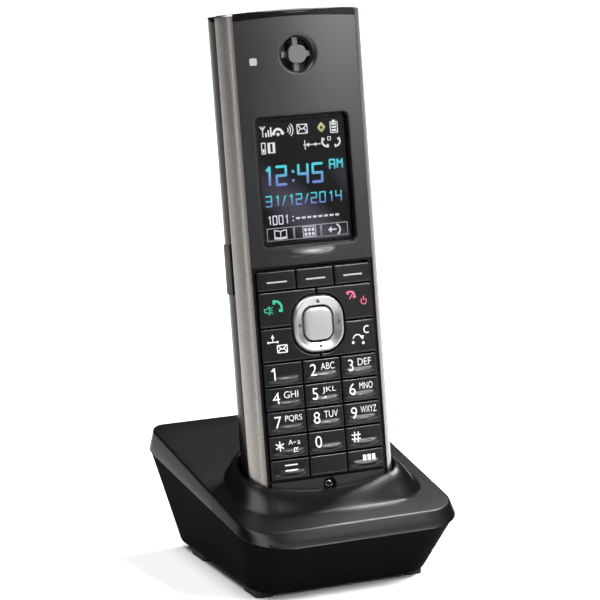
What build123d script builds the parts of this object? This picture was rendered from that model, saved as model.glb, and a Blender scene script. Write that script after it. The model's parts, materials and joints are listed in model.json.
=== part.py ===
from build123d import *
import os
from math import cos, radians, sin, sqrt

# Cordless telephone: a slim handset leaning back in a wedge-shaped desk charger.
# The origin is the middle of the charger's footprint on the table, the face looks along -Y.
# Handset pieces are drawn in the handset's own directions:
# u across to the right, v up from its bottom end, depth back from the plane of its trims.

# ------------------------------------------------------------ handset, overall
HANDSET_WIDTH = 48.0
HANDSET_LENGTH = 153.4
HANDSET_THICKNESS = 22.5      # trim plane to the back
HANDSET_LEAN = 11.6           # degrees back from upright
FOOT_Y = -17.4                # where the trim plane meets the bottom end
FOOT_Z = 20.6
FACE_CROWN = 0.9              # rise of the face in the middle
TOP_ARCH = 0.85               # rise of the top edge in the middle
BACK_RADIUS = 16.0
BACK_STRAIGHT = 105.0         # height up to which the back is straight
BACK_TAPER_RADIUS = 262.0
TOP_BACK_RADIUS = 4.0
TOP_FRONT_RADIUS = 1.4
BOTTOM_BACK_RADIUS = 2.5
CORNER_RADIUS = 2.2
LEAST_RADIUS = 0.2            # of a rounding that a wall has used up
SIDE_OVERCUT = 0.02           # outlines that trim a solid run this far past its flat faces
SHELL_WALL = 1.6
RIM_HEIGHT = 2.0              # back shell's rim above the fascia
SEAM = 0.12                   # visible gap between fixed outer pieces
FIT = 0.1                     # clearance between pieces that only sit together

# ------------------------------------------------------------ side trims
TRIM_WIDTH = 3.4
TRIM_DEPTH = 5.2
TRIM_WALL = 1.4

# ------------------------------------------------------------ front shell and keypad
PLATE_TOP = 1.4               # depth of the front shell's plate under the fascia
PLATE_BOTTOM = 2.6
BORDER_DEPTH = 0.55           # border beside the keys, below the trim plane
BORDER_WIDTH = 1.3
KEY_GAP = 0.5
KEY_RISE = 0.45               # key tops above the crown
KEY_BOTTOM = 1.8
KEY_CORNER = 0.3
CHIN_TOP = 12.2
ROW_HEIGHT = 7.3              # dial rows
LAST_ROW_HEIGHT = 6.4
CALL_ROW_HEIGHT = 10.5        # transfer and clear keys
TALK_ROW_HEIGHT = 11.0
SOFTKEY_HEIGHT = 6.2
MIDDLE_COLUMN = 12.86         # spacing of the two column divisions
RING_WIDTH = 17.2
RING_HEIGHT = 17.4
RING_CORNER = 7.0
RING_RISE = 1.1               # ring above the crown
CENTRE_KEY_WIDTH = 9.5
CENTRE_KEY_HEIGHT = 10.0
CENTRE_KEY_CORNER = 3.0
CENTRE_KEY_RISE = 0.7
RING_CHAMFER = 0.9
CENTRE_KEY_CHAMFER = 0.3
RING_BOTTOM = 1.9
WEB_TOP = 2.35
WEB_BOTTOM = 2.85
WEB_INSET = 0.5               # web inside the ring's outline
RIDGE_WIDTH = 0.8
RIDGE_LENGTH = 2.0
RIDGE_FROM_EDGE = 2.0
MAT_TOP = 2.95
MAT_BOTTOM = 4.1
MAT_PLUNGER_RADIUS = 2.0

# ------------------------------------------------------------ fascia, display, earpiece
FASCIA_STEP = 0.7             # bar of the front shell between the soft keys and the fascia
WINDOW_WIDTH = 31.0
WINDOW_HEIGHT = 38.7
WINDOW_CORNER = 1.6
WINDOW_ABOVE_FASCIA_EDGE = 5.9
WINDOW_TOP = 0.25
WINDOW_BEVEL = 25.0           # degrees the opening's edge leans out
DISPLAY_WIDTH = 28.6          # glass that looks through the front shell
DISPLAY_HEIGHT = 36.6
MODULE_WIDTH = 34.0
MODULE_HEIGHT = 43.0
DISPLAY_BACK = 4.1
FRAME_WALL = 0.4
EARPIECE_BELOW_TOP = 13.6
EARPIECE_HOLE = 10.2
EARPIECE_RECESS_WIDTH = 12.9
EARPIECE_RECESS_HEIGHT = 11.9
GRILLE_RIM = 13.0
GRILLE_DISC_WIDTH = 5.8
GRILLE_DISC_HEIGHT = 5.3
SPOKE_WIDTH = 1.7
GRILLE_DISC_CORNER = 2.0
GRILLE_DISC_RISE = 0.3
GRILLE_THICKNESS = 0.4
GRILLE_SEAT = 0.5
SPEAKER_DIAMETER = 15.0
SPEAKER_HEIGHT = 3.4
SPEAKER_BASKET = 0.6          # share of the height that has the full diameter
SPEAKER_MAGNET = 0.7          # share of the diameter
SPEAKER_CONE = 0.6            # share of the diameter
CONE_DEPTH = 0.6
INDICATOR_U = -15.0
INDICATOR_BELOW_TOP = 15.2
INDICATOR_WIDTH = 2.4
INDICATOR_HEIGHT = 2.2
INDICATOR_CORNER = 0.5
INDICATOR_LENGTH_INSIDE = 0.4
MICROPHONE_V = 9.3
BEAD_DIAMETER = 3.5
BEAD_RECESS = 4.6
BEAD_RISE = 0.8
BEAD_ROUNDING = 0.35          # share of the diameter
BEAD_RECESS_DEPTH = 1.2
BEAD_RECESS_SLOPE = 20.0
CHIN_RISE = 0.1
INDICATOR_RISE = 0.05
MICROPHONE_HOLE = 2.0
MICROPHONE_DIAMETER = 4.0

# ------------------------------------------------------------ inside the handset
BOARD_TOP = 4.2
BOARD_THICKNESS = 1.0
BOARD_BOTTOM_V = 2.6
BOARD_TO_SPEAKER = 1.2
POST_U = 15.5
POST_LOW_V = 6.5
POST_DIAMETER = 5.0
POST_MEET = 11.0              # depth where front and back posts meet
POST_HOLE_IN_BOARD = 0.3      # clearance round a post
BACK_POST_DIAMETER = 6.6
SCREW_DIAMETER = 1.9
SCREW_HEAD = 3.8
SCREW_HEAD_HEIGHT = 1.5
SCREW_LENGTH = 7.0
SCREW_SEAT = 1.5              # plastic under a screw head
SCREW_SLOT = (2.3, 0.5, 0.7)  # cross recess: length, width, depth
SCREW_HOLE = 0.2              # clearance round shank and head
RUNNING_FIT = 0.05
CELL_DIAMETER = 10.5          # AAA cell
CELL_LENGTH = 44.5
CELL_NUB = 1.0                # height of the positive end
CELL_NUB_DIAMETER = 3.8
CELL_GAP = 0.5
CELL_TO_COVER = 0.35
CELL_TO_SIDE = 0.65
TRAY_V = 30.2                 # bottom of the battery compartment
TRAY_WALL = 1.2
SPRING_LENGTH = 2.6
SPRING_RADIUS = 2.6
SPRING_WIRE = 0.5
CONTACT_THICKNESS = 0.4
CONTACT_PLATE = 9.0
SPRING_TURNS = 2
COVER_WIDTH = 36.0
COVER_BOTTOM_V = 25.0
COVER_LENGTH = 64.0
COVER_WALL = 1.5
COVER_CORNER = 3.0
LEDGE_WALL = 1.2
LEDGE_WIDTH = 2.0
GRIP_PITCH = 2.0              # finger grooves of the cover
GRIP_GROOVES = 4
GRIP_SIZE = (14.0, 1.0)
GRIP_DEPTH = 0.4
GRIP_BELOW_TOP = 12.0
RINGER_DIAMETER = 20.0
RINGER_HEIGHT = 3.6
RINGER_V = 105.0
RINGER_TO_BACK = 1.3          # air between the ringer and the back shell
RINGER_RING_WALL = 1.2
RINGER_BASKET = 0.6           # share of the height that has the full diameter
RINGER_MAGNET = 0.68          # share of the diameter
RINGER_CONE = 0.6             # share of the diameter
SOUND_SLOT = (12.0, 1.4)
SOUND_SLOT_PITCH = 3.0
SOUND_SLOTS = 5
JACK_V = 76.6
JACK_DEPTH = 10.0
JACK_BORE = 2.5
JACK_BACK_WALL = 1.0
JACK_TO_TRAY = 0.8
JACK_BODY = (6.0, 5.4)        # along v and in depth
JACK_HOLE = 3.9
JACK_COVER_LENGTH = 15.0
JACK_COVER_WIDTH = 7.6
JACK_COVER_WALL = 1.0
JACK_COVER_PROUD = 0.4
HINGE_RADIUS = 0.5
CONTACT_U = 9.0
CONTACT_DEPTH = 14.0
CONTACT_PAD = 4.0
CONTACT_BEHIND_WALL = 0.8
SHIELD_SIZE = (22.0, 15.0, 2.2)
SHIELD_ABOVE_RINGER = 6.0
CHIP_SIZE = (8.0, 8.0, 1.2)
CHIPS = ((-6, 40), (7, 46), (0, 60))
BOARD_CORNER = 1.5

# ------------------------------------------------------------ charger
DECK_SIDE = 11.35             # deck beside the handset
DECK_FRONT = (-34.5, 23.5)    # y and z of the deck's front and back edges
DECK_BACK = (39.45, 37.4)
BAND_SIDE = 0.95              # parting line outside the deck's edge
PARTING_FRONT = (-40.4, 19.9)
PARTING_BACK = (40.4, 30.5)
UNDERSIDE_INSET = 6.65        # lower housing draws in by this at each side
UNDERSIDE_FRONT = -27.9
UNDERSIDE_BACK = 28.6
FOOT_HEIGHT = 1.5
DECK_CORNER = 9.0             # front corners seen from above
PARTING_CORNER = 14.0
UNDERSIDE_CORNER = 8.0
CHARGER_BACK_CORNER = 5.0
UNDERSIDE_ROUNDING = 3.5
SHELLS_OVERLAP = 1.0          # hollows of the two shells run past the parting line
CHARGER_POST_X = 13.0
CHARGER_POST_FROM_FRONT = 6.0
CHARGER_POST_FROM_BACK = 6.0
CHARGER_POST_MEET = 9.0       # height where the posts of the two shells meet
CHARGER_SEAT = 2.0            # plastic under a screw head
DECK_EDGE_FILLET = 0.8
CHARGER_WALL = 2.0
SEAM_STEP = 0.4
SLOT_CLEARANCE = 0.6
COLLAR_CREST = 1.3            # flat of the crest outside the slot
COLLAR_FOOT = 6.5             # spread of the collar at the deck
COLLAR_HEIGHT = 4.8
COLLAR_DIP = 2.2              # the front lip is this much lower in the middle
WELL_WALL = 1.6
WELL_LENGTH = 30.0            # enough to reach the deck all round
POCKET_GAP = 0.6              # pocket floor below the handset
RIB_GAP = 0.05
PAD_WIDTH = 6.0               # rubber feet
PAD_LENGTH = 10.0
PAD_RECESS = 1.0
PAD_CORNER = 1.5
PAD_FROM_SIDE = 4.2
PAD_FROM_FRONT = 8.0
PAD_FROM_BACK = 12.0
CHARGER_BOARD_Z = 6.0
CHARGER_BOARD_WIDTH = 40.0
CHARGER_BOARD_FRONT = -14.0
CHARGER_BOARD_BACK = 16.0
CHARGER_BOARD_THICKNESS = 1.2
STANDOFF_RADIUS = 1.5
STANDOFF_FROM_EDGE = 4.0
CHARGER_CHIP = (5.0, 4.0, 2.0)
CHARGER_CHIPS = ((-4, -7), (4, -8), (0, 10))
RIB_U = 16.0
RIB_WIDTH = 1.5
RIB_LENGTH = 10.0
RIB_DEPTH = 10.0
STRIP_WIDTH = 2.4             # charging contacts
STRIP_THICKNESS = 0.5
STRIP_HOLE = 3.2
INLET_WIDTH = 9.0
INLET_HEIGHT = 8.0
INLET_LENGTH = 11.0
INLET_BORE = 3.6              # takes a 3.5 mm plug
INLET_BORE_DEPTH = 8.0
INLET_Z = 9.5
INLET_PROUD = 1.0
CHARGER_POST_DIAMETER = 6.4

# ------------------------------------------------------------ worked out from the sizes above
HALF_WIDTH = HANDSET_WIDTH / 2
FACE_HALF = HALF_WIDTH - TRIM_WIDTH
TRIM_RADIUS = (TRIM_WIDTH**2 + TRIM_DEPTH**2) / (2 * TRIM_WIDTH)
KEYPAD_HALF = FACE_HALF - BORDER_WIDTH
COLUMN_EDGES = (-KEYPAD_HALF, -MIDDLE_COLUMN / 2, MIDDLE_COLUMN / 2, KEYPAD_HALF)
DIAL_BOTTOM = CHIN_TOP + LAST_ROW_HEIGHT
DIAL_TOP = DIAL_BOTTOM + 4 * ROW_HEIGHT
CALL_TOP = DIAL_TOP + CALL_ROW_HEIGHT
TALK_TOP = CALL_TOP + TALK_ROW_HEIGHT
SOFTKEY_TOP = TALK_TOP + SOFTKEY_HEIGHT
FASCIA_BOTTOM = SOFTKEY_TOP + KEY_GAP + FASCIA_STEP
FASCIA_TOP = HANDSET_LENGTH - RIM_HEIGHT
WINDOW_V = FASCIA_BOTTOM + WINDOW_ABOVE_FASCIA_EDGE + WINDOW_HEIGHT / 2
EARPIECE_V = HANDSET_LENGTH - EARPIECE_BELOW_TOP
INDICATOR_V = HANDSET_LENGTH - INDICATOR_BELOW_TOP
RING_V = CALL_TOP
BOARD_HALF = KEYPAD_HALF - KEY_GAP
BOARD_BOTTOM = BOARD_TOP + BOARD_THICKNESS
RINGER_BACK = HANDSET_THICKNESS - SHELL_WALL - RINGER_TO_BACK
POST_HIGH_V = WINDOW_V + MODULE_HEIGHT / 2 + POST_DIAMETER / 2 + RIB_GAP
POST_PLACES = [(u, v) for u in (-POST_U, POST_U) for v in (POST_LOW_V, POST_HIGH_V)]
TRAY_LENGTH = CELL_LENGTH + SPRING_LENGTH + 4 * CONTACT_THICKNESS
CELL_SPACING = CELL_DIAMETER + CELL_GAP
TRAY_HALF = (CELL_SPACING + CELL_DIAMETER) / 2 + CELL_TO_SIDE
TRAY_FLOOR = HANDSET_THICKNESS - COVER_WALL - CELL_TO_COVER - CELL_DIAMETER - RUNNING_FIT
TRAY_MIDDLE_V = TRAY_V + TRAY_LENGTH / 2
CELL_DEPTH = TRAY_FLOOR + CELL_DIAMETER / 2 + RUNNING_FIT
COVER_V = COVER_BOTTOM_V + COVER_LENGTH / 2
DECK_WIDTH = HANDSET_WIDTH + 2 * DECK_SIDE
PARTING_WIDTH = DECK_WIDTH + 2 * BAND_SIDE
UNDERSIDE_WIDTH = PARTING_WIDTH - 2 * UNDERSIDE_INSET
FAR = 200.0                   # longer than any piece, for cutting right through

# ------------------------------------------------------------ planes
FACE = Plane(
    origin=(0, FOOT_Y, FOOT_Z),
    x_dir=(1, 0, 0),
    z_dir=(0, -cos(radians(HANDSET_LEAN)), sin(radians(HANDSET_LEAN))),
)


def face_plane(depth):
    """Plane parallel to the handset's face: sketch x is u, y is v, and up is out of the face."""
    return FACE.offset(-depth)


def cross_plane(v):
    """Plane across the handset at height v: sketch x is u, y is depth, and up is along v."""
    return Plane(origin=FACE.from_local_coords((0, v, 0)), x_dir=FACE.x_dir, z_dir=FACE.y_dir)


def side_plane(u):
    """Plane along the handset at u: sketch x is v, y is out of the face, and up is along u."""
    return Plane(origin=FACE.from_local_coords((u, 0, 0)), x_dir=FACE.y_dir, z_dir=FACE.x_dir)


def sloping_plane(front, back):
    """Plane through two (y, z) points, level across: its sketch y runs up from front to back."""
    rise = Vector(0, back[0] - front[0], back[1] - front[1])
    middle = (0, (front[0] + back[0]) / 2, (front[1] + back[1]) / 2)
    return Plane(origin=middle, x_dir=(1, 0, 0), z_dir=Vector(1, 0, 0).cross(rise))


def span(front, back):
    """Length between two (y, z) points."""
    return sqrt((back[0] - front[0]) ** 2 + (back[1] - front[1]) ** 2)


DECK = sloping_plane(DECK_FRONT, DECK_BACK)
PARTING = sloping_plane(PARTING_FRONT, PARTING_BACK)


# ------------------------------------------------------------ handset envelope
def cross_section(grow=0.0):
    """Cross-section of the closed handset, offset outwards by grow."""
    with BuildSketch(cross_plane(0)) as section:
        with BuildLine():
            ThreePointArc((-FACE_HALF, 0), (0, -FACE_CROWN), (FACE_HALF, 0))
            side = (HALF_WIDTH, TRIM_DEPTH)
            RadiusArc((FACE_HALF, 0), side, -TRIM_RADIUS)
            corner = (HALF_WIDTH, HANDSET_THICKNESS - BACK_RADIUS)
            Line(side, corner)
            back = (HALF_WIDTH - BACK_RADIUS, HANDSET_THICKNESS)
            RadiusArc(corner, back, -BACK_RADIUS)
            Line(back, (0, HANDSET_THICKNESS))
            Line((0, HANDSET_THICKNESS), (-back[0], HANDSET_THICKNESS))
            RadiusArc((-back[0], back[1]), (-corner[0], corner[1]), -BACK_RADIUS)
            Line((-corner[0], corner[1]), (-side[0], side[1]))
            RadiusArc((-side[0], side[1]), (-FACE_HALF, 0), -TRIM_RADIUS)
        make_face()
        if grow:
            offset(amount=grow)
    return section.sketch


def section_at(v, grow=0.0):
    """The handset's cross-section at height v, offset outwards by grow."""
    return cross_section(grow).moved(Location(FACE.y_dir * v))


def side_profile(shrink=0.0):
    """Outline of the handset seen from its side, v along x and out of the face along y."""
    low, top = shrink, HANDSET_LENGTH - shrink
    front = FACE_CROWN + SIDE_OVERCUT - shrink
    back = -(HANDSET_THICKNESS + SIDE_OVERCUT - shrink)
    front_radius = max(TOP_FRONT_RADIUS - shrink, LEAST_RADIUS)
    end_radius = max(TOP_BACK_RADIUS - shrink, LEAST_RADIUS)
    foot_radius = max(BOTTOM_BACK_RADIUS - shrink, LEAST_RADIUS)
    taper_radius = BACK_TAPER_RADIUS - shrink
    taper_v = top - end_radius
    taper_back = back + taper_radius - sqrt(taper_radius**2 - (taper_v - BACK_STRAIGHT) ** 2)
    with BuildSketch(side_plane(-HALF_WIDTH - 1)) as profile:
        with BuildLine():
            Line((low, front), (top - front_radius, front))
            RadiusArc((top - front_radius, front), (top, front - front_radius), front_radius)
            Line((top, front - front_radius), (top, taper_back + end_radius))
            RadiusArc((top, taper_back + end_radius), (taper_v, taper_back), end_radius)
            RadiusArc((taper_v, taper_back), (BACK_STRAIGHT, back), taper_radius)
            Line((BACK_STRAIGHT, back), (low + foot_radius, back))
            RadiusArc((low + foot_radius, back), (low, back + foot_radius), foot_radius)
            Line((low, back + foot_radius), (low, front))
        make_face()
    return profile.sketch


def front_outline(shrink=0.0):
    """Outline of the handset's arched top end seen from the front, open past its bottom end."""
    side = HALF_WIDTH + SIDE_OVERCUT - shrink
    shoulder = HANDSET_LENGTH - TOP_ARCH - shrink
    with BuildSketch(face_plane(-FAR / 2)) as outline:
        with BuildLine():
            Polyline((-side, shoulder), (-side, -FAR / 4), (side, -FAR / 4), (side, shoulder))
            ThreePointArc((side, shoulder), (0, HANDSET_LENGTH - shrink), (-side, shoulder))
        make_face()
        fillet(outline.vertices().group_by(Axis.Z)[-1], max(CORNER_RADIUS - shrink, LEAST_RADIUS))
    return outline.sketch


def handset_body(shrink=0.0):
    """Solid of the closed handset, with every face moved in by shrink."""
    with BuildPart() as body:
        extrude(cross_section(-shrink), amount=HANDSET_LENGTH, dir=FACE.y_dir)
        extrude(side_profile(shrink), amount=HANDSET_WIDTH + 2, dir=FACE.x_dir, mode=Mode.INTERSECT)
        extrude(front_outline(shrink), amount=FAR, dir=-FACE.z_dir, mode=Mode.INTERSECT)
    return body.part


def under_crown(rise):
    """Solid below a crowned surface that stands above the face by rise."""
    with BuildPart() as body:
        with BuildSketch(cross_plane(0)):
            with BuildLine():
                ThreePointArc((-FACE_HALF, -rise), (0, -FACE_CROWN - rise), (FACE_HALF, -rise))
                Polyline((FACE_HALF, -rise), (FACE_HALF, MAT_TOP),
                         (-FACE_HALF, MAT_TOP), (-FACE_HALF, -rise))
            make_face()
        extrude(amount=HANDSET_LENGTH)
    return body.part


ENVELOPE = handset_body()
INNER_SURFACE = handset_body(SHELL_WALL)


def finish(piece, name):
    """Labels a finished piece and writes its file."""
    piece.label = name
    export_step(piece, f"parts/{name}.step")


os.makedirs("parts", exist_ok=True)

# ============================================================ HANDSET: shells and trims
# The side trims are curved strips that cover the joint of the two shells over the full length.
# At the top, above the front shell, they are solid.
FRONT_SHELL_TOP = FASCIA_TOP - TOP_ARCH
for trim_side, trim_name in ((-1, "side_trim_left"), (1, "side_trim_right")):
    trim_middle = (trim_side * (FACE_HALF + TRIM_WIDTH / 2), TRIM_DEPTH / 2)
    with BuildPart() as side_trim:
        with BuildSketch(cross_plane(0)):
            with Locations((trim_side * (HALF_WIDTH - TRIM_RADIUS), TRIM_DEPTH)):
                Circle(TRIM_RADIUS)
                Circle(TRIM_RADIUS - TRIM_WALL, mode=Mode.SUBTRACT)
            with Locations(trim_middle):
                Rectangle(TRIM_WIDTH, TRIM_DEPTH, mode=Mode.INTERSECT)
        extrude(amount=HANDSET_LENGTH)
        with BuildSketch(cross_plane(FRONT_SHELL_TOP + FIT)):
            with Locations(trim_middle):
                Rectangle(TRIM_WIDTH, TRIM_DEPTH)
        extrude(amount=RIM_HEIGHT + TOP_ARCH)
        add(ENVELOPE, mode=Mode.INTERSECT)
    finish(side_trim.part, trim_name)

# The front shell carries the keys, the display and the fascia, and its skirt backs the trims.
SKIRT_RADIUS = TRIM_RADIUS - TRIM_WALL - FIT
SKIRT_CENTRE = HALF_WIDTH - TRIM_RADIUS
SKIRT_TOP_U = FACE_HALF - FIT
SKIRT_TOP = TRIM_DEPTH - sqrt(SKIRT_RADIUS**2 - (SKIRT_TOP_U - SKIRT_CENTRE) ** 2)
SKIRT_EDGE_U = SKIRT_CENTRE + SKIRT_RADIUS
SKIRT_WALL = 1.1
TONGUE_DEPTH = 1.6            # tongue that the back shell slides over
TONGUE_U = HALF_WIDTH - SHELL_WALL - FIT
TONGUE_WALL = 0.9
TONGUE_ENDS = 8.0

with BuildPart() as front_shell:
    with BuildSketch(cross_plane(FIT)) as shell_section:
        with BuildLine():
            Line((0, BORDER_DEPTH), (SKIRT_TOP_U, BORDER_DEPTH))
            Line((SKIRT_TOP_U, BORDER_DEPTH), (SKIRT_TOP_U, SKIRT_TOP))
            RadiusArc((SKIRT_TOP_U, SKIRT_TOP), (SKIRT_EDGE_U, TRIM_DEPTH), -SKIRT_RADIUS)
            Polyline((SKIRT_EDGE_U, TRIM_DEPTH), (SKIRT_EDGE_U - SKIRT_WALL, TRIM_DEPTH),
                     (KEYPAD_HALF + 2 * FIT, PLATE_BOTTOM), (0, PLATE_BOTTOM), (0, BORDER_DEPTH))
        make_face()
        mirror(about=Plane.YZ)
    extrude(amount=FRONT_SHELL_TOP - FIT)
    # seat of the fascia
    with BuildSketch(face_plane(PLATE_TOP)):
        with Locations((0, (FASCIA_BOTTOM - SEAM + HANDSET_LENGTH) / 2)):
            Rectangle(HANDSET_WIDTH, HANDSET_LENGTH - FASCIA_BOTTOM + SEAM)
    extrude(amount=PLATE_TOP, mode=Mode.SUBTRACT)
    # seat of the chin panel
    with BuildSketch(face_plane(PLATE_TOP)):
        with Locations((0, (CHIN_TOP - KEY_GAP) / 2)):
            Rectangle(2 * KEYPAD_HALF, CHIN_TOP - KEY_GAP + SEAM)
    extrude(amount=PLATE_TOP, mode=Mode.SUBTRACT)
    # keypad opening, display opening, earpiece, indicator and microphone holes
    with BuildSketch(face_plane(PLATE_BOTTOM)):
        with Locations((0, (CHIN_TOP + SOFTKEY_TOP + KEY_GAP) / 2)):
            Rectangle(2 * KEYPAD_HALF, SOFTKEY_TOP + KEY_GAP - CHIN_TOP)
        with Locations((0, WINDOW_V)):
            Rectangle(DISPLAY_WIDTH + 2 * FIT, DISPLAY_HEIGHT + 2 * FIT)
        with Locations((0, EARPIECE_V)):
            Circle(EARPIECE_HOLE / 2)
        with Locations((INDICATOR_U, INDICATOR_V)):
            Rectangle(INDICATOR_WIDTH + 2 * FIT, INDICATOR_HEIGHT + 2 * FIT)
        with Locations((0, MICROPHONE_V)):
            Circle(MICROPHONE_HOLE / 2)
    extrude(amount=FAR / 4, mode=Mode.SUBTRACT)
    # tongue and bottom wall
    with BuildSketch(cross_plane(TONGUE_ENDS)):
        with Locations((-TONGUE_U + TONGUE_WALL / 2, TRIM_DEPTH - FIT),
                       (TONGUE_U - TONGUE_WALL / 2, TRIM_DEPTH - FIT)):
            Rectangle(TONGUE_WALL, TONGUE_DEPTH + FIT, align=(Align.CENTER, Align.MIN))
    extrude(amount=FRONT_SHELL_TOP - 2 * TONGUE_ENDS)
    with BuildSketch(cross_plane(FIT)):
        with Locations((0, (PLATE_BOTTOM + TRIM_DEPTH) / 2)):
            Rectangle(2 * KEYPAD_HALF + 1, TRIM_DEPTH - PLATE_BOTTOM)
    extrude(amount=SHELL_WALL)
    # screw posts
    with BuildSketch(face_plane(POST_MEET)):
        with Locations(*POST_PLACES):
            Circle(POST_DIAMETER / 2)
    extrude(amount=POST_MEET - PLATE_BOTTOM)
    with BuildSketch(face_plane(POST_MEET)):
        with Locations(*POST_PLACES):
            Circle(SCREW_DIAMETER / 2 + RUNNING_FIT)
    extrude(amount=SCREW_LENGTH, mode=Mode.SUBTRACT)
finish(front_shell.part, "front_shell")

# The upper fascia is the satin plate round the display and the earpiece.
with BuildPart() as upper_fascia:
    with BuildSketch(face_plane(PLATE_TOP)) as fascia_outline:
        half = FACE_HALF - SEAM
        shoulder = FASCIA_TOP - TOP_ARCH - SEAM
        with BuildLine():
            Polyline((-half, shoulder), (-half, FASCIA_BOTTOM), (half, FASCIA_BOTTOM), (half, shoulder))
            ThreePointArc((half, shoulder), (0, FASCIA_TOP - SEAM), (-half, shoulder))
        make_face()
    extrude(amount=PLATE_TOP + 2 * FACE_CROWN)
    add(ENVELOPE, mode=Mode.INTERSECT)
    with BuildSketch(face_plane(PLATE_TOP)):
        with Locations((0, WINDOW_V)):
            RectangleRounded(WINDOW_WIDTH + 2 * FIT, WINDOW_HEIGHT + 2 * FIT, WINDOW_CORNER)
    extrude(amount=FAR / 4, mode=Mode.SUBTRACT)
    # bevel round the window
    with BuildSketch(face_plane(WINDOW_TOP)):
        with Locations((0, WINDOW_V)):
            RectangleRounded(WINDOW_WIDTH + 2 * FIT, WINDOW_HEIGHT + 2 * FIT, WINDOW_CORNER)
    extrude(amount=WINDOW_TOP + FACE_CROWN, taper=-WINDOW_BEVEL, mode=Mode.SUBTRACT)
    # soft recess of the earpiece, a flared hole
    with BuildSketch(face_plane(PLATE_TOP)):
        with Locations((0, EARPIECE_V)):
            Circle(EARPIECE_HOLE / 2)
    with BuildSketch(face_plane(-FACE_CROWN)):
        with Locations((0, EARPIECE_V)):
            Ellipse(EARPIECE_RECESS_WIDTH / 2, EARPIECE_RECESS_HEIGHT / 2)
    loft(mode=Mode.SUBTRACT)
    # seat of the earpiece grille, and the indicator's hole
    with BuildSketch(face_plane(PLATE_TOP)):
        with Locations((0, EARPIECE_V)):
            Circle(GRILLE_RIM / 2 + FIT)
    extrude(amount=GRILLE_SEAT, mode=Mode.SUBTRACT)
    with BuildSketch(face_plane(PLATE_TOP)):
        with Locations((INDICATOR_U, INDICATOR_V)):
            Rectangle(INDICATOR_WIDTH + 2 * FIT, INDICATOR_HEIGHT + 2 * FIT)
    extrude(amount=FAR / 4, mode=Mode.SUBTRACT)
finish(upper_fascia.part, "upper_fascia")

# The chin panel closes the front below the keys and holds the microphone's bead.
with BuildPart() as chin_panel:
    with BuildSketch(face_plane(PLATE_TOP)):
        with Locations((0, (CHIN_TOP - KEY_GAP) / 2)):
            Rectangle(2 * (KEYPAD_HALF - SEAM), CHIN_TOP - KEY_GAP - SEAM)
    extrude(amount=PLATE_TOP + 2 * FACE_CROWN)
    add(under_crown(CHIN_RISE), mode=Mode.INTERSECT)
    with BuildSketch(face_plane(-FACE_CROWN - CHIN_RISE - FIT)):
        with Locations((0, MICROPHONE_V)):
            Circle(BEAD_RECESS / 2)
    extrude(amount=-BEAD_RECESS_DEPTH, taper=BEAD_RECESS_SLOPE, mode=Mode.SUBTRACT)
    with BuildSketch(face_plane(PLATE_TOP)):
        with Locations((0, MICROPHONE_V)):
            Circle(BEAD_DIAMETER / 2 + FIT / 2)
    extrude(amount=PLATE_TOP + 2 * FACE_CROWN, mode=Mode.SUBTRACT)
finish(chin_panel.part, "chin_panel")

# The bead is a small domed cap over the microphone's hole.
with BuildPart() as microphone_bead:
    with BuildSketch(face_plane(PLATE_TOP)):
        with Locations((0, MICROPHONE_V)):
            Circle(BEAD_DIAMETER / 2)
    extrude(amount=PLATE_TOP + BEAD_RISE)
    bead_top = faces().sort_by(Axis(FACE.origin, FACE.z_dir))[-1]
    fillet(bead_top.edges(), BEAD_DIAMETER * BEAD_ROUNDING)
finish(microphone_bead.part, "microphone_bead")

# The back shell is the rear half of the case, with a rim that wraps over the top of the face.
with BuildPart() as cover_block:
    with BuildSketch(face_plane(FAR / 4)):
        with Locations((0, COVER_V)):
            RectangleRounded(COVER_WIDTH, COVER_LENGTH, COVER_CORNER)
    extrude(amount=FAR / 4 - TRAY_FLOOR)

with BuildPart() as cover_recess:
    with BuildSketch(face_plane(FAR / 4)):
        with Locations((0, COVER_V)):
            RectangleRounded(COVER_WIDTH + 2 * SEAM, COVER_LENGTH + 2 * SEAM, COVER_CORNER + SEAM)
    extrude(amount=FAR / 4 - TRAY_FLOOR)
    add(handset_body(COVER_WALL + FIT), mode=Mode.SUBTRACT)

with BuildPart() as cover_ledge:
    with BuildSketch(face_plane(FAR / 4)):
        with Locations((0, COVER_V)):
            RectangleRounded(COVER_WIDTH + 2 * LEDGE_WIDTH, COVER_LENGTH + 2 * LEDGE_WIDTH,
                             COVER_CORNER + LEDGE_WIDTH)
    extrude(amount=FAR / 4 - TRAY_FLOOR)
    add(handset_body(COVER_WALL + FIT), mode=Mode.INTERSECT)
    add(handset_body(COVER_WALL + FIT + LEDGE_WALL), mode=Mode.SUBTRACT)

with BuildPart() as tray_block:
    with BuildSketch(face_plane(FAR / 4)):
        with Locations((0, TRAY_MIDDLE_V)):
            Rectangle(2 * (TRAY_HALF + TRAY_WALL), TRAY_LENGTH + 2 * TRAY_WALL)
    extrude(amount=FAR / 4 - TRAY_FLOOR + TRAY_WALL)
    add(handset_body(COVER_WALL + FIT), mode=Mode.INTERSECT)

POST_BLOCK_TOP = POST_MEET + RIB_GAP
with BuildPart() as back_posts:
    with BuildSketch(face_plane(FAR / 4)):
        with Locations(*POST_PLACES):
            Circle(BACK_POST_DIAMETER / 2)
    extrude(amount=FAR / 4 - POST_BLOCK_TOP)
    add(handset_body(SHELL_WALL / 2), mode=Mode.INTERSECT)

with BuildPart() as ringer_ring:
    with BuildSketch(face_plane(HANDSET_THICKNESS)):
        with Locations((0, RINGER_V)):
            Circle(RINGER_DIAMETER / 2 + RINGER_RING_WALL)
            Circle(RINGER_DIAMETER / 2 + FIT, mode=Mode.SUBTRACT)
    extrude(amount=HANDSET_THICKNESS - RINGER_BACK + RINGER_HEIGHT)
    add(handset_body(SHELL_WALL / 2), mode=Mode.INTERSECT)

JACK_HINGE_DEPTH = JACK_DEPTH + JACK_COVER_WIDTH / 2


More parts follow.
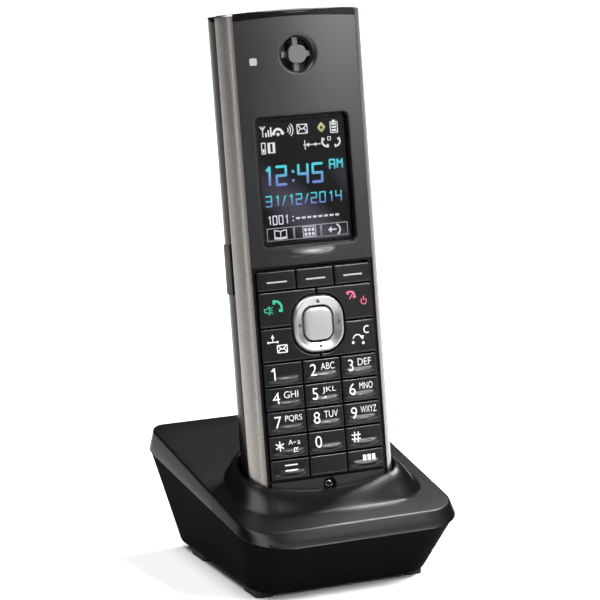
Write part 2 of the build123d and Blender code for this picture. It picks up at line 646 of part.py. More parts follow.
def side_u(depth, grow=0.0):
    """Half width of the handset at a depth on its rounded side, grown outwards by grow."""
    below = depth - (HANDSET_THICKNESS - BACK_RADIUS)
    if below <= 0:
        return HALF_WIDTH + grow
    return HALF_WIDTH - BACK_RADIUS + sqrt((BACK_RADIUS + grow) ** 2 - below**2)


JACK_RECESS_WALL = JACK_COVER_WALL - JACK_COVER_PROUD
JACK_FACE = side_u(JACK_DEPTH + JACK_BODY[1] / 2, -SHELL_WALL) - FIT
JACK_NOSE = side_u(JACK_DEPTH + JACK_HOLE / 2, -JACK_RECESS_WALL - RUNNING_FIT) - FIT
JACK_BACK = TRAY_HALF + TRAY_WALL + JACK_TO_TRAY
JACK_BORE_DEPTH = JACK_NOSE - JACK_BACK - JACK_BACK_WALL
JACK_HINGE_U = -side_u(JACK_HINGE_DEPTH, JACK_COVER_PROUD - HINGE_RADIUS)

with BuildPart() as jack_recess:
    with BuildSketch(side_plane(-HALF_WIDTH - 2)):
        with Locations((JACK_V, -JACK_DEPTH)):
            Rectangle(JACK_COVER_LENGTH + 2 * SEAM, JACK_COVER_WIDTH + 2 * SEAM)
    extrude(amount=HALF_WIDTH)
    add(handset_body(JACK_RECESS_WALL + RUNNING_FIT), mode=Mode.SUBTRACT)
    with BuildSketch(cross_plane(JACK_V - JACK_COVER_LENGTH / 2 - SEAM)):
        with Locations((JACK_HINGE_U, JACK_HINGE_DEPTH)):
            Circle(HINGE_RADIUS + SEAM)
    extrude(amount=JACK_COVER_LENGTH + 2 * SEAM)

with BuildPart() as back_shell:
    add(ENVELOPE)
    # front region: everything before the trims' rear edge, up to the rim
    with BuildSketch(face_plane(TRIM_DEPTH)):
        with BuildLine():
            shoulder = FASCIA_TOP - TOP_ARCH
            Polyline((-FACE_HALF + SEAM, shoulder), (-FACE_HALF + SEAM, HANDSET_LENGTH + 1),
                     (-HANDSET_WIDTH, HANDSET_LENGTH + 1), (-HANDSET_WIDTH, -1), (HANDSET_WIDTH, -1),
                     (HANDSET_WIDTH, HANDSET_LENGTH + 1), (FACE_HALF - SEAM, HANDSET_LENGTH + 1),
                     (FACE_HALF - SEAM, shoulder))
            ThreePointArc((FACE_HALF - SEAM, shoulder), (0, FASCIA_TOP), (-FACE_HALF + SEAM, shoulder))
        make_face()
    extrude(amount=FAR / 4, mode=Mode.SUBTRACT)
    add(INNER_SURFACE, mode=Mode.SUBTRACT)
    add(cover_recess.part, mode=Mode.SUBTRACT)
    add(cover_ledge.part)
    add(tray_block.part)
    with BuildSketch(face_plane(TRAY_FLOOR)):
        with Locations((0, TRAY_MIDDLE_V)):
            Rectangle(2 * TRAY_HALF, TRAY_LENGTH)
    extrude(amount=-FAR / 4, mode=Mode.SUBTRACT)
    # posts with counterbored screw holes
    add(back_posts.part)
    with BuildSketch(face_plane(POST_MEET)):
        with Locations(*POST_PLACES):
            Circle(SCREW_DIAMETER / 2 + SCREW_HOLE)
    extrude(amount=-FAR / 4, mode=Mode.SUBTRACT)
    with BuildSketch(face_plane(POST_MEET + SCREW_SEAT)):
        with Locations(*POST_PLACES):
            Circle(SCREW_HEAD / 2 + SCREW_HOLE)
    extrude(amount=-FAR / 4, mode=Mode.SUBTRACT)
    # ringer seat and its sound slots
    add(ringer_ring.part)
    with BuildSketch(face_plane(RINGER_BACK)):
        with GridLocations(0, SOUND_SLOT_PITCH, 1, SOUND_SLOTS):
            with Locations((0, RINGER_V)):
                SlotOverall(*SOUND_SLOT)
    extrude(amount=-FAR / 4, mode=Mode.SUBTRACT)
    # headset jack: recess of its cover and the hole for the plug
    add(jack_recess.part, mode=Mode.SUBTRACT)
    with BuildSketch(side_plane(-HALF_WIDTH - 2)):
        with Locations((JACK_V, -JACK_DEPTH)):
            Circle(JACK_HOLE / 2)
    extrude(amount=HALF_WIDTH / 3, mode=Mode.SUBTRACT)
    with BuildSketch(side_plane(-JACK_FACE - FIT)):
        with Locations((JACK_V, -JACK_DEPTH)):
            Rectangle(JACK_BODY[0] + 2 * FIT, JACK_BODY[1] + 2 * FIT)
    extrude(amount=JACK_FACE - JACK_BACK + 2 * FIT, mode=Mode.SUBTRACT)
    # pockets of the charging contacts in the bottom wall
    with BuildSketch(cross_plane(-1)):
        with Locations((-CONTACT_U, CONTACT_DEPTH), (CONTACT_U, CONTACT_DEPTH)):
            Rectangle(CONTACT_PAD + FIT, CONTACT_PAD + FIT)
    extrude(amount=SHELL_WALL + 2, mode=Mode.SUBTRACT)
finish(back_shell.part, "back_shell")

# The battery cover continues the back and turns on tongues at its lower edge.
with BuildPart() as battery_cover:
    add(cover_block.part)
    add(ENVELOPE, mode=Mode.INTERSECT)
    add(handset_body(COVER_WALL), mode=Mode.SUBTRACT)
    # finger grooves near the latch
    with BuildSketch(face_plane(HANDSET_THICKNESS + 1)):
        with GridLocations(0, GRIP_PITCH, 1, GRIP_GROOVES):
            with Locations((0, COVER_BOTTOM_V + COVER_LENGTH - GRIP_BELOW_TOP)):
                SlotOverall(*GRIP_SIZE)
    extrude(amount=1 + GRIP_DEPTH, mode=Mode.SUBTRACT)
finish(battery_cover.part, "battery_cover")

# ============================================================ HANDSET: display and earpiece
with BuildPart() as display_window:
    with BuildSketch(face_plane(PLATE_TOP)):
        with Locations((0, WINDOW_V)):
            RectangleRounded(WINDOW_WIDTH, WINDOW_HEIGHT, WINDOW_CORNER)
    extrude(amount=PLATE_TOP - WINDOW_TOP)
finish(display_window.part, "display_window")

with BuildPart() as display_panel:
    with BuildSketch(face_plane(DISPLAY_BACK)):
        with Locations((0, WINDOW_V)):
            Rectangle(MODULE_WIDTH - 2 * FRAME_WALL - FIT, MODULE_HEIGHT - 2 * FRAME_WALL - FIT)
    extrude(amount=DISPLAY_BACK - PLATE_BOTTOM - FRAME_WALL - RIB_GAP)
    with BuildSketch(face_plane(DISPLAY_BACK)):
        with Locations((0, WINDOW_V)):
            Rectangle(DISPLAY_WIDTH, DISPLAY_HEIGHT)
    extrude(amount=DISPLAY_BACK - PLATE_TOP - RIB_GAP)
finish(display_panel.part, "display_panel")

# A thin pressed frame holds the display's glass against the front shell.
with BuildPart() as display_frame:
    with BuildSketch(face_plane(DISPLAY_BACK)):
        with Locations((0, WINDOW_V)):
            Rectangle(MODULE_WIDTH, MODULE_HEIGHT)
    extrude(amount=DISPLAY_BACK - PLATE_BOTTOM)
    with BuildSketch(face_plane(DISPLAY_BACK)):
        with Locations((0, WINDOW_V)):
            Rectangle(MODULE_WIDTH - 2 * FRAME_WALL, MODULE_HEIGHT - 2 * FRAME_WALL)
    extrude(amount=DISPLAY_BACK - PLATE_BOTTOM - FRAME_WALL, mode=Mode.SUBTRACT)
    with BuildSketch(face_plane(DISPLAY_BACK)):
        with Locations((0, WINDOW_V)):
            Rectangle(DISPLAY_WIDTH + 2 * FIT, DISPLAY_HEIGHT + 2 * FIT)
    extrude(amount=DISPLAY_BACK, mode=Mode.SUBTRACT)
finish(display_frame.part, "display_frame")

# The earpiece grille: a rim under the fascia, four spokes and a rounded disc.
with BuildPart() as earpiece_grille:
    with BuildSketch(face_plane(PLATE_TOP)):
        with Locations((0, EARPIECE_V)):
            Circle(GRILLE_RIM / 2)
            Circle(EARPIECE_HOLE / 2, mode=Mode.SUBTRACT)
            Rectangle(EARPIECE_HOLE + SPOKE_WIDTH / 2, SPOKE_WIDTH)
            Rectangle(SPOKE_WIDTH, EARPIECE_HOLE + SPOKE_WIDTH / 2)
    extrude(amount=GRILLE_THICKNESS)
    with BuildSketch(face_plane(PLATE_TOP)):
        with Locations((0, EARPIECE_V)):
            RectangleRounded(GRILLE_DISC_WIDTH, GRILLE_DISC_HEIGHT, GRILLE_DISC_CORNER)
    extrude(amount=PLATE_TOP + GRILLE_DISC_RISE)
finish(earpiece_grille.part, "earpiece_grille")

with BuildPart() as earpiece_speaker:
    with BuildSketch(face_plane(PLATE_BOTTOM + FIT)):
        with Locations((0, EARPIECE_V)):
            Circle(SPEAKER_DIAMETER / 2)
    extrude(amount=-SPEAKER_HEIGHT * SPEAKER_BASKET)
    with BuildSketch(face_plane(PLATE_BOTTOM + FIT)):
        with Locations((0, EARPIECE_V)):
            Circle(SPEAKER_DIAMETER / 2 * SPEAKER_MAGNET)
    extrude(amount=-SPEAKER_HEIGHT)
    with BuildSketch(face_plane(PLATE_BOTTOM + FIT)):
        with Locations((0, EARPIECE_V)):
            Circle(SPEAKER_DIAMETER / 2 * SPEAKER_CONE)
    extrude(amount=-CONE_DEPTH, mode=Mode.SUBTRACT)
finish(earpiece_speaker.part, "earpiece_speaker")

# The indicator is a light pipe from the board to the face.
with BuildPart() as indicator_lens:
    with BuildSketch(face_plane(PLATE_BOTTOM + INDICATOR_LENGTH_INSIDE)):
        with Locations((INDICATOR_U, INDICATOR_V)):
            RectangleRounded(INDICATOR_WIDTH, INDICATOR_HEIGHT, INDICATOR_CORNER)
    extrude(amount=PLATE_BOTTOM + INDICATOR_LENGTH_INSIDE + 2 * FACE_CROWN)
    add(under_crown(INDICATOR_RISE), mode=Mode.INTERSECT)
finish(indicator_lens.part, "indicator_lens")


# ============================================================ HANDSET: keys
KEY_SURFACE = under_crown(KEY_RISE)


def key(name, left, right, low, high, beside_ring=False):
    """A key cap that fills its cell of the keypad less half a gap at each side."""
    with BuildPart() as cap:
        with BuildSketch(face_plane(KEY_BOTTOM)):
            with Locations(((left + right) / 2, (low + high) / 2)):
                RectangleRounded(right - left - KEY_GAP, high - low - KEY_GAP, KEY_CORNER)
            if beside_ring:
                with Locations((0, RING_V)):
                    RectangleRounded(RING_WIDTH + 2 * KEY_GAP, RING_HEIGHT + 2 * KEY_GAP,
                                     RING_CORNER + KEY_GAP, mode=Mode.SUBTRACT)
        extrude(amount=KEY_BOTTOM + KEY_RISE + 2 * FACE_CROWN)
        add(KEY_SURFACE, mode=Mode.INTERSECT)
    finish(cap.part, name)


def columns(names, low, high):
    """One row of three keys."""
    for name, left, right in zip(names, COLUMN_EDGES[:-1], COLUMN_EDGES[1:]):
        key(name, left, right, low, high)


columns(("softkey_left", "softkey_middle", "softkey_right"), TALK_TOP, SOFTKEY_TOP)
for row, names in enumerate((("key_star", "key_0", "key_hash"), ("key_7", "key_8", "key_9"),
                             ("key_4", "key_5", "key_6"), ("key_1", "key_2", "key_3"))):
    columns(names, DIAL_BOTTOM + row * ROW_HEIGHT, DIAL_BOTTOM + (row + 1) * ROW_HEIGHT)
columns(("line_key", "blank_key_plate", "function_key"), CHIN_TOP, DIAL_BOTTOM)
key("talk_key", -KEYPAD_HALF, 0, CALL_TOP, TALK_TOP, beside_ring=True)
key("off_key", 0, KEYPAD_HALF, CALL_TOP, TALK_TOP, beside_ring=True)
key("transfer_key", -KEYPAD_HALF, 0, DIAL_TOP, CALL_TOP, beside_ring=True)
key("clear_key", 0, KEYPAD_HALF, DIAL_TOP, CALL_TOP, beside_ring=True)

# The navigator ring rocks on a web, which rocks the other way on the key mat.
with BuildPart() as navigator_ring:
    with BuildSketch(face_plane(RING_BOTTOM)):
        with Locations((0, RING_V)):
            RectangleRounded(RING_WIDTH, RING_HEIGHT, RING_CORNER)
    extrude(amount=RING_BOTTOM + FACE_CROWN + RING_RISE)
    ring_top = faces().sort_by(Axis(FACE.origin, FACE.z_dir))[-1]
    chamfer(ring_top.edges(), RING_CHAMFER)
    with BuildSketch(face_plane(RING_BOTTOM)):
        with Locations((0, RING_V)):
            RectangleRounded(CENTRE_KEY_WIDTH + 2 * KEY_GAP, CENTRE_KEY_HEIGHT + 2 * KEY_GAP,
                             CENTRE_KEY_CORNER + KEY_GAP)
    extrude(amount=FAR / 4, mode=Mode.SUBTRACT)
finish(navigator_ring.part, "navigator_ring")

with BuildPart() as navigator_web:
    with BuildSketch(face_plane(WEB_BOTTOM)):
        with Locations((0, RING_V)):
            RectangleRounded(RING_WIDTH - 2 * WEB_INSET, RING_HEIGHT - 2 * WEB_INSET,
                             RING_CORNER - WEB_INSET)
            RectangleRounded(CENTRE_KEY_WIDTH + 2 * KEY_GAP, CENTRE_KEY_HEIGHT + 2 * KEY_GAP,
                             CENTRE_KEY_CORNER, mode=Mode.SUBTRACT)
    extrude(amount=WEB_BOTTOM - WEB_TOP)
    # two ridges along v under the ring, on which the ring tips left and right
    with BuildSketch(face_plane(WEB_TOP + FIT)):
        with Locations((0, RING_V - RING_HEIGHT / 2 + RIDGE_FROM_EDGE),
                       (0, RING_V + RING_HEIGHT / 2 - RIDGE_FROM_EDGE)):
            Rectangle(RIDGE_WIDTH, RIDGE_LENGTH)
    extrude(amount=WEB_TOP + FIT - RING_BOTTOM - RUNNING_FIT)
finish(navigator_web.part, "navigator_web")

with BuildPart() as centre_key:
    with BuildSketch(face_plane(KEY_BOTTOM)):
        with Locations((0, RING_V)):
            RectangleRounded(CENTRE_KEY_WIDTH, CENTRE_KEY_HEIGHT, CENTRE_KEY_CORNER)
    extrude(amount=KEY_BOTTOM + FACE_CROWN + CENTRE_KEY_RISE)
    centre_key_top = faces().sort_by(Axis(FACE.origin, FACE.z_dir))[-1]
    chamfer(centre_key_top.edges(), CENTRE_KEY_CHAMFER)
finish(centre_key.part, "centre_key")

# The rubber mat under the keys, with one plunger for each key.
KEY_CENTRES_U = [(a + b) / 2 for a, b in zip(COLUMN_EDGES[:-1], COLUMN_EDGES[1:])]
PLUNGERS = [(u, DIAL_BOTTOM + (row + 0.5) * ROW_HEIGHT) for u in KEY_CENTRES_U for row in range(4)]
PLUNGERS += [(u, (TALK_TOP + SOFTKEY_TOP) / 2) for u in KEY_CENTRES_U]
PLUNGERS += [(u, (CHIN_TOP + DIAL_BOTTOM) / 2) for u in KEY_CENTRES_U]
SIDE_KEY_U = (KEYPAD_HALF + RING_WIDTH / 2 + KEY_GAP) / 2
PLUNGERS += [(u, v) for u in (-SIDE_KEY_U, SIDE_KEY_U)
             for v in ((DIAL_TOP + CALL_TOP) / 2, (CALL_TOP + TALK_TOP) / 2)]
PLUNGERS += [(0, RING_V)]
with BuildPart() as keypad_mat:
    with BuildSketch(face_plane(MAT_BOTTOM)):
        with Locations((0, (CHIN_TOP + SOFTKEY_TOP) / 2)):
            Rectangle(2 * BOARD_HALF, SOFTKEY_TOP - CHIN_TOP + 2 * KEY_GAP)
    extrude(amount=MAT_BOTTOM - MAT_TOP)
    with BuildSketch(face_plane(MAT_BOTTOM)):
        with Locations(*PLUNGERS):
            Circle(MAT_PLUNGER_RADIUS)
    extrude(amount=MAT_BOTTOM - KEY_BOTTOM - RUNNING_FIT)
finish(keypad_mat.part, "keypad_mat")

# ============================================================ HANDSET: inside
BOARD_TOP_V = EARPIECE_V - SPEAKER_DIAMETER / 2 - BOARD_TO_SPEAKER
with BuildPart() as main_circuit_board:
    with BuildSketch(face_plane(BOARD_BOTTOM)):
        with Locations((0, (BOARD_BOTTOM_V + BOARD_TOP_V) / 2)):
            RectangleRounded(2 * BOARD_HALF, BOARD_TOP_V - BOARD_BOTTOM_V, BOARD_CORNER)
        with Locations(*POST_PLACES):
            Circle(POST_DIAMETER / 2 + POST_HOLE_IN_BOARD, mode=Mode.SUBTRACT)
    extrude(amount=BOARD_THICKNESS)
    # shield can of the radio and a few parts on the back
    with BuildSketch(face_plane(BOARD_BOTTOM)):
        with Locations((0, RINGER_V + SHIELD_ABOVE_RINGER)):
            Rectangle(*SHIELD_SIZE[:2])
    extrude(amount=-SHIELD_SIZE[2])
    with BuildSketch(face_plane(BOARD_BOTTOM)):
        with Locations(*CHIPS):
            Rectangle(*CHIP_SIZE[:2])
    extrude(amount=-CHIP_SIZE[2])
finish(main_circuit_board.part, "main_circuit_board")

with BuildPart() as microphone:
    with BuildSketch(face_plane(PLATE_BOTTOM + RIB_GAP)):
        with Locations((0, MICROPHONE_V)):
            Circle(MICROPHONE_DIAMETER / 2)
    extrude(amount=-(BOARD_TOP - PLATE_BOTTOM - 2 * RIB_GAP))
finish(microphone.part, "microphone")

with BuildPart() as ringer_speaker:
    with BuildSketch(face_plane(RINGER_BACK - RIB_GAP)):
        with Locations((0, RINGER_V)):
            Circle(RINGER_DIAMETER / 2)
    extrude(amount=RINGER_HEIGHT * RINGER_BASKET)
    with BuildSketch(face_plane(RINGER_BACK - RIB_GAP)):
        with Locations((0, RINGER_V)):
            Circle(RINGER_DIAMETER / 2 * RINGER_MAGNET)
    extrude(amount=RINGER_HEIGHT)
    with BuildSketch(face_plane(RINGER_BACK - RIB_GAP)):
        with Locations((0, RINGER_V)):
            Circle(RINGER_DIAMETER / 2 * RINGER_CONE)
    extrude(amount=CONE_DEPTH, mode=Mode.SUBTRACT)
finish(ringer_speaker.part, "ringer_speaker")

# Two AAA cells lie side by side with opposite ends up.
CELL_BODY = CELL_LENGTH - CELL_NUB
CELL_U = CELL_SPACING / 2
SPRING_END_V = TRAY_V + CONTACT_THICKNESS + SPRING_LENGTH
TRAY_TOP_V = TRAY_V + TRAY_LENGTH


def cell_plane(u, v):
    """Plane across a cell at height v, centred on the cell's axis."""
    return Plane(origin=FACE.from_local_coords((u, v, -CELL_DEPTH)), x_dir=FACE.x_dir, z_dir=FACE.y_dir)


with BuildPart() as battery_cells:
    for u, base_v, direction in ((-CELL_U, SPRING_END_V + RIB_GAP, 1),
                                 (CELL_U, TRAY_TOP_V - CONTACT_THICKNESS - SPRING_LENGTH - RIB_GAP, -1)):
        with BuildSketch(cell_plane(u, base_v)):
            Circle(CELL_DIAMETER / 2)
        extrude(amount=direction * CELL_BODY)
        with BuildSketch(cell_plane(u, base_v + direction * CELL_BODY)):
            Circle(CELL_NUB_DIAMETER / 2)
        extrude(amount=direction * CELL_NUB)
finish(battery_cells.part, "battery_cells")

with BuildPart() as battery_contact_plates:
    for u, v in ((-CELL_U, TRAY_V + RIB_GAP), (CELL_U, TRAY_V + RIB_GAP),
                 (-CELL_U, TRAY_TOP_V - CONTACT_THICKNESS), (CELL_U, TRAY_TOP_V - CONTACT_THICKNESS)):
        with BuildSketch(cell_plane(u, v)):
            Rectangle(CONTACT_PLATE, CONTACT_PLATE)
        extrude(amount=CONTACT_THICKNESS - RIB_GAP)
finish(battery_contact_plates.part, "battery_contact_plates")

COIL_HEIGHT = SPRING_LENGTH - SPRING_WIRE - RIB_GAP
with BuildPart() as battery_springs:
    for u, v in ((-CELL_U, TRAY_V + CONTACT_THICKNESS + RIB_GAP),
                 (CELL_U, TRAY_TOP_V - CONTACT_THICKNESS - SPRING_LENGTH)):
        spring_base = cell_plane(u, v + SPRING_WIRE / 2)
        with BuildLine(spring_base) as coil:
            Helix(pitch=COIL_HEIGHT / SPRING_TURNS, height=COIL_HEIGHT, radius=SPRING_RADIUS)
        with BuildSketch(Plane(origin=coil.line @ 0, z_dir=coil.line % 0)):
            Circle(SPRING_WIRE / 2)
        sweep(path=coil.line, is_frenet=True)
finish(battery_springs.part, "battery_springs")

with BuildPart() as headset_jack:
    with BuildSketch(side_plane(-JACK_FACE)):
        with Locations((JACK_V, -JACK_DEPTH)):
            Rectangle(*JACK_BODY)
    extrude(amount=JACK_FACE - JACK_BACK)
    with BuildSketch(side_plane(-JACK_NOSE)):
        with Locations((JACK_V, -JACK_DEPTH)):
            Circle(JACK_HOLE / 2 - FIT)
    extrude(amount=JACK_NOSE - JACK_FACE)
    with BuildSketch(side_plane(-JACK_NOSE)):
        with Locations((JACK_V, -JACK_DEPTH)):
            Circle(JACK_BORE / 2)
    extrude(amount=JACK_BORE_DEPTH, mode=Mode.SUBTRACT)
finish(headset_jack.part, "headset_jack")

# The jack's cover is a rubber flap that turns on a bead along its rear edge.
with BuildPart() as headset_jack_cover:
    extrude(section_at(JACK_V - JACK_COVER_LENGTH / 2, JACK_COVER_PROUD),
            amount=JACK_COVER_LENGTH, dir=FACE.y_dir)
    extrude(section_at(JACK_V - JACK_COVER_LENGTH / 2, -JACK_RECESS_WALL),
            amount=JACK_COVER_LENGTH, dir=FACE.y_dir, mode=Mode.SUBTRACT)
    with BuildSketch(side_plane(-HALF_WIDTH - 2)):
        with Locations((JACK_V, -JACK_DEPTH)):
            Rectangle(JACK_COVER_LENGTH, JACK_COVER_WIDTH)
    extrude(amount=HALF_WIDTH, mode=Mode.INTERSECT)
    with BuildSketch(cross_plane(JACK_V - JACK_COVER_LENGTH / 2)):
        with Locations((JACK_HINGE_U, JACK_HINGE_DEPTH)):
            Circle(HINGE_RADIUS)
    extrude(amount=JACK_COVER_LENGTH)
finish(headset_jack_cover.part, "headset_jack_cover")

with BuildPart() as handset_charge_contacts:
    with BuildSketch(cross_plane(0)):
        with Locations((-CONTACT_U, CONTACT_DEPTH), (CONTACT_U, CONTACT_DEPTH)):
            Rectangle(CONTACT_PAD, CONTACT_PAD)
    extrude(amount=SHELL_WALL + CONTACT_BEHIND_WALL)
finish(handset_charge_contacts.part, "handset_charge_contacts")


def screws(places, seat_plane, into):
    """Pan-head screws at places on seat_plane: the head lies against into, the shank goes along it."""
    slot_length, slot_width, slot_depth = SCREW_SLOT
    with BuildPart() as group:
        with BuildSketch(seat_plane):
            with Locations(*places):
                Circle(SCREW_HEAD / 2)
        extrude(amount=-into * SCREW_HEAD_HEIGHT)
        with BuildSketch(seat_plane):
            with Locations(*places):
                Circle(SCREW_DIAMETER / 2)
        extrude(amount=into * SCREW_LENGTH)
        with BuildSketch(seat_plane.offset(-into * SCREW_HEAD_HEIGHT)):
            with Locations(*places):
                Rectangle(slot_length, slot_width)
                Rectangle(slot_width, slot_length)
        extrude(amount=into * slot_depth, mode=Mode.SUBTRACT)
    return group.part


finish(screws(POST_PLACES, face_plane(POST_MEET + SCREW_SEAT + RIB_GAP), 1), "case_screws")

# ============================================================ CHARGER
UNDERSIDE = Plane.XY.offset(FOOT_HEIGHT)


def charger_outline(plane, width, length, corner, shrink, middle_y=0.0):
    """Outline of the charger on a plane, with corner as the radius of its front corners."""
    with BuildSketch(plane) as outline:
        with Locations((0, middle_y)):
            Rectangle(width - 2 * shrink, length - 2 * shrink)
        fillet(outline.vertices().sort_by(Axis.Y)[:2], corner - shrink)
        fillet(outline.vertices().sort_by(Axis.Y)[-2:], CHARGER_BACK_CORNER - shrink)
    return outline.sketch


def upper_housing(shrink=0.0, lower=0.0):
    """Solid between the parting line and the deck."""
    with BuildPart() as housing:
        parting = charger_outline(PARTING.offset(-lower), PARTING_WIDTH,
                                  span(PARTING_FRONT, PARTING_BACK), PARTING_CORNER, shrink)
        deck = charger_outline(DECK.offset(-shrink), DECK_WIDTH, span(DECK_FRONT, DECK_BACK),
                               DECK_CORNER, shrink)
        loft([parting, deck], ruled=True)
    return housing.part


def lower_housing(shrink=0.0, lift=0.0, over=0.0):
    """Solid between the underside and the parting line."""
    with BuildPart() as housing:
        underside = charger_outline(UNDERSIDE.offset(lift), UNDERSIDE_WIDTH,
                                    UNDERSIDE_BACK - UNDERSIDE_FRONT, UNDERSIDE_CORNER, shrink,
                                    (UNDERSIDE_FRONT + UNDERSIDE_BACK) / 2)
        parting = charger_outline(PARTING.offset(over), PARTING_WIDTH - 2 * SEAM_STEP,
                                  span(PARTING_FRONT, PARTING_BACK) - 2 * SEAM_STEP,
                                  PARTING_CORNER, shrink)
        loft([underside, parting], ruled=True)
    return housing.part


def slot_block(low_v, grow, length):
    """Solid that follows the slot's outline along the handset, grown outwards."""
    with BuildPart() as block:
        extrude(section_at(low_v, SLOT_CLEARANCE + grow), amount=length, dir=FACE.y_dir)
    return block.part


def deck_section(height, grow):
    """Outline round the slot, cut by the plane at a height above the deck."""
    with BuildPart() as block:
        extrude(section_at(-HANDSET_LENGTH, SLOT_CLEARANCE + grow),
                amount=2 * HANDSET_LENGTH, dir=FACE.y_dir)
    return section(block.part, section_by=DECK.offset(height))


# The collar is a flared skirt round the slot, whose front lip dips in the middle.
SLOT_FLOOR = -POCKET_GAP
collar_foot = deck_section(-0.4, COLLAR_FOOT)
collar_crest = deck_section(COLLAR_HEIGHT, COLLAR_CREST)
with BuildPart() as collar:
    loft([collar_foot, collar_crest], ruled=True)
    dip_radius = (HALF_WIDTH**2 + COLLAR_DIP**2) / (2 * COLLAR_DIP)
    dip_plane = Plane(origin=DECK.origin, x_dir=(1, 0, 0), z_dir=-DECK.y_dir)
    with BuildSketch(dip_plane):
        with Locations((0, COLLAR_HEIGHT - COLLAR_DIP + dip_radius)):
            Circle(dip_radius)
        with Locations((0, COLLAR_HEIGHT + FAR / 8)):
            Rectangle(FAR, FAR / 2, mode=Mode.INTERSECT)
    extrude(amount=FAR / 2, mode=Mode.SUBTRACT)

with BuildPart() as well:
    add(slot_block(SLOT_FLOOR - WELL_WALL, WELL_WALL, WELL_LENGTH))
    split(bisect_by=DECK.offset(-CHARGER_WALL / 2), keep=Keep.BOTTOM)

CHARGER_POSTS = [(x, y) for x in (-CHARGER_POST_X, CHARGER_POST_X)
                 for y in (UNDERSIDE_FRONT + CHARGER_POST_FROM_FRONT,
                           UNDERSIDE_BACK - CHARGER_POST_FROM_BACK)]
CHARGER_FLOOR = FOOT_HEIGHT + CHARGER_WALL
SCREW_SEAT_Z = CHARGER_POST_MEET - CHARGER_SEAT
PAD_X = UNDERSIDE_WIDTH / 2 - PAD_FROM_SIDE
PADS = [(x, y) for x in (-PAD_X, PAD_X)
        for y in (UNDERSIDE_FRONT + PAD_FROM_FRONT, UNDERSIDE_BACK - PAD_FROM_BACK)]
STRIP_PLACES = ((-CONTACT_U, CONTACT_DEPTH), (CONTACT_U, CONTACT_DEPTH))
INLET_FACE_Y = UNDERSIDE_BACK + INLET_PROUD

with BuildPart() as upper_posts:
    with BuildSketch(Plane.XY.offset(CHARGER_POST_MEET + RIB_GAP)):
        with Locations(*CHARGER_POSTS):
            Circle(CHARGER_POST_DIAMETER / 2)
    extrude(amount=FAR / 4)
    split(bisect_by=DECK.offset(-CHARGER_WALL / 2), keep=Keep.BOTTOM)

with BuildPart() as charger_top_shell:
    add(upper_housing())
    deck_edges = faces().filter_by(lambda f: f.normal_at().dot(DECK.z_dir) > 0.999).edges()
    fillet(deck_edges, DECK_EDGE_FILLET)
    add(upper_housing(CHARGER_WALL, SHELLS_OVERLAP), mode=Mode.SUBTRACT)
    add(collar.part)
    add(well.part)
    add(upper_posts.part)
    add(slot_block(SLOT_FLOOR, 0, FAR / 2), mode=Mode.SUBTRACT)
    with BuildSketch(Plane.XY.offset(CHARGER_POST_MEET)):
        with Locations(*CHARGER_POSTS):
            Circle(SCREW_DIAMETER / 2 + RUNNING_FIT)
    extrude(amount=SCREW_LENGTH - CHARGER_SEAT, mode=Mode.SUBTRACT)
    # ribs that the handset stands on, and the holes of the charging contacts
    with BuildSketch(cross_plane(SLOT_FLOOR)):
        with Locations((-RIB_U, RIB_DEPTH), (RIB_U, RIB_DEPTH)):
            Rectangle(RIB_WIDTH, RIB_LENGTH)
    extrude(amount=POCKET_GAP - RIB_GAP)
    with BuildSketch(cross_plane(SLOT_FLOOR - WELL_WALL - 1)):
        with Locations(*STRIP_PLACES):
            Rectangle(STRIP_HOLE, STRIP_HOLE)
    extrude(amount=WELL_WALL + 2, mode=Mode.SUBTRACT)
finish(charger_top_shell.part, "charger_top_shell")

# The bottom shell is the tapered tub under the parting line.
STANDOFF_X = CHARGER_BOARD_WIDTH / 2 - STANDOFF_FROM_EDGE
STANDOFFS = [(x, y) for x in (-STANDOFF_X, STANDOFF_X)
             for y in (CHARGER_BOARD_FRONT + STANDOFF_FROM_EDGE, CHARGER_BOARD_BACK - STANDOFF_FROM_EDGE)]

with BuildPart() as charger_bottom_shell:
    add(lower_housing())
    underside_edges = faces().sort_by(Axis.Z)[0].edges()
    fillet(underside_edges, UNDERSIDE_ROUNDING)
    add(lower_housing(CHARGER_WALL, CHARGER_WALL, SHELLS_OVERLAP), mode=Mode.SUBTRACT)
    # posts and board standoffs
    with BuildSketch(Plane.XY.offset(CHARGER_FLOOR - FIT)):
        with Locations(*CHARGER_POSTS):
            Circle(CHARGER_POST_DIAMETER / 2)
    extrude(amount=CHARGER_POST_MEET - CHARGER_FLOOR + FIT)
    with BuildSketch(Plane.XY.offset(CHARGER_FLOOR - FIT)):
        with Locations(*STANDOFFS):
            Circle(STANDOFF_RADIUS)
    extrude(amount=CHARGER_BOARD_Z - RIB_GAP - CHARGER_FLOOR + FIT)
    # screw holes from below
    with BuildSketch(Plane.XY):
        with Locations(*CHARGER_POSTS):
            Circle(SCREW_DIAMETER / 2 + SCREW_HOLE)
    extrude(amount=FAR / 4, mode=Mode.SUBTRACT)
    with BuildSketch(Plane.XY):
        with Locations(*CHARGER_POSTS):
            Circle(SCREW_HEAD / 2 + SCREW_HOLE)
    extrude(amount=SCREW_SEAT_Z, mode=Mode.SUBTRACT)
    # pockets of the rubber feet
    with BuildSketch(Plane.XY):
        with Locations(*PADS):
            RectangleRounded(PAD_WIDTH + 2 * FIT, PAD_LENGTH + 2 * FIT, PAD_CORNER)
    extrude(amount=FOOT_HEIGHT + PAD_RECESS, mode=Mode.SUBTRACT)
    # opening of the power inlet in the rear wall
    with BuildSketch(Plane.XZ.offset(-UNDERSIDE_BACK + INLET_LENGTH / 2)):
        with Locations((0, INLET_Z)):
            Rectangle(INLET_WIDTH + 2 * FIT, INLET_HEIGHT + 2 * FIT)
    extrude(amount=-FAR / 4, mode=Mode.SUBTRACT)
finish(charger_bottom_shell.part, "charger_bottom_shell")

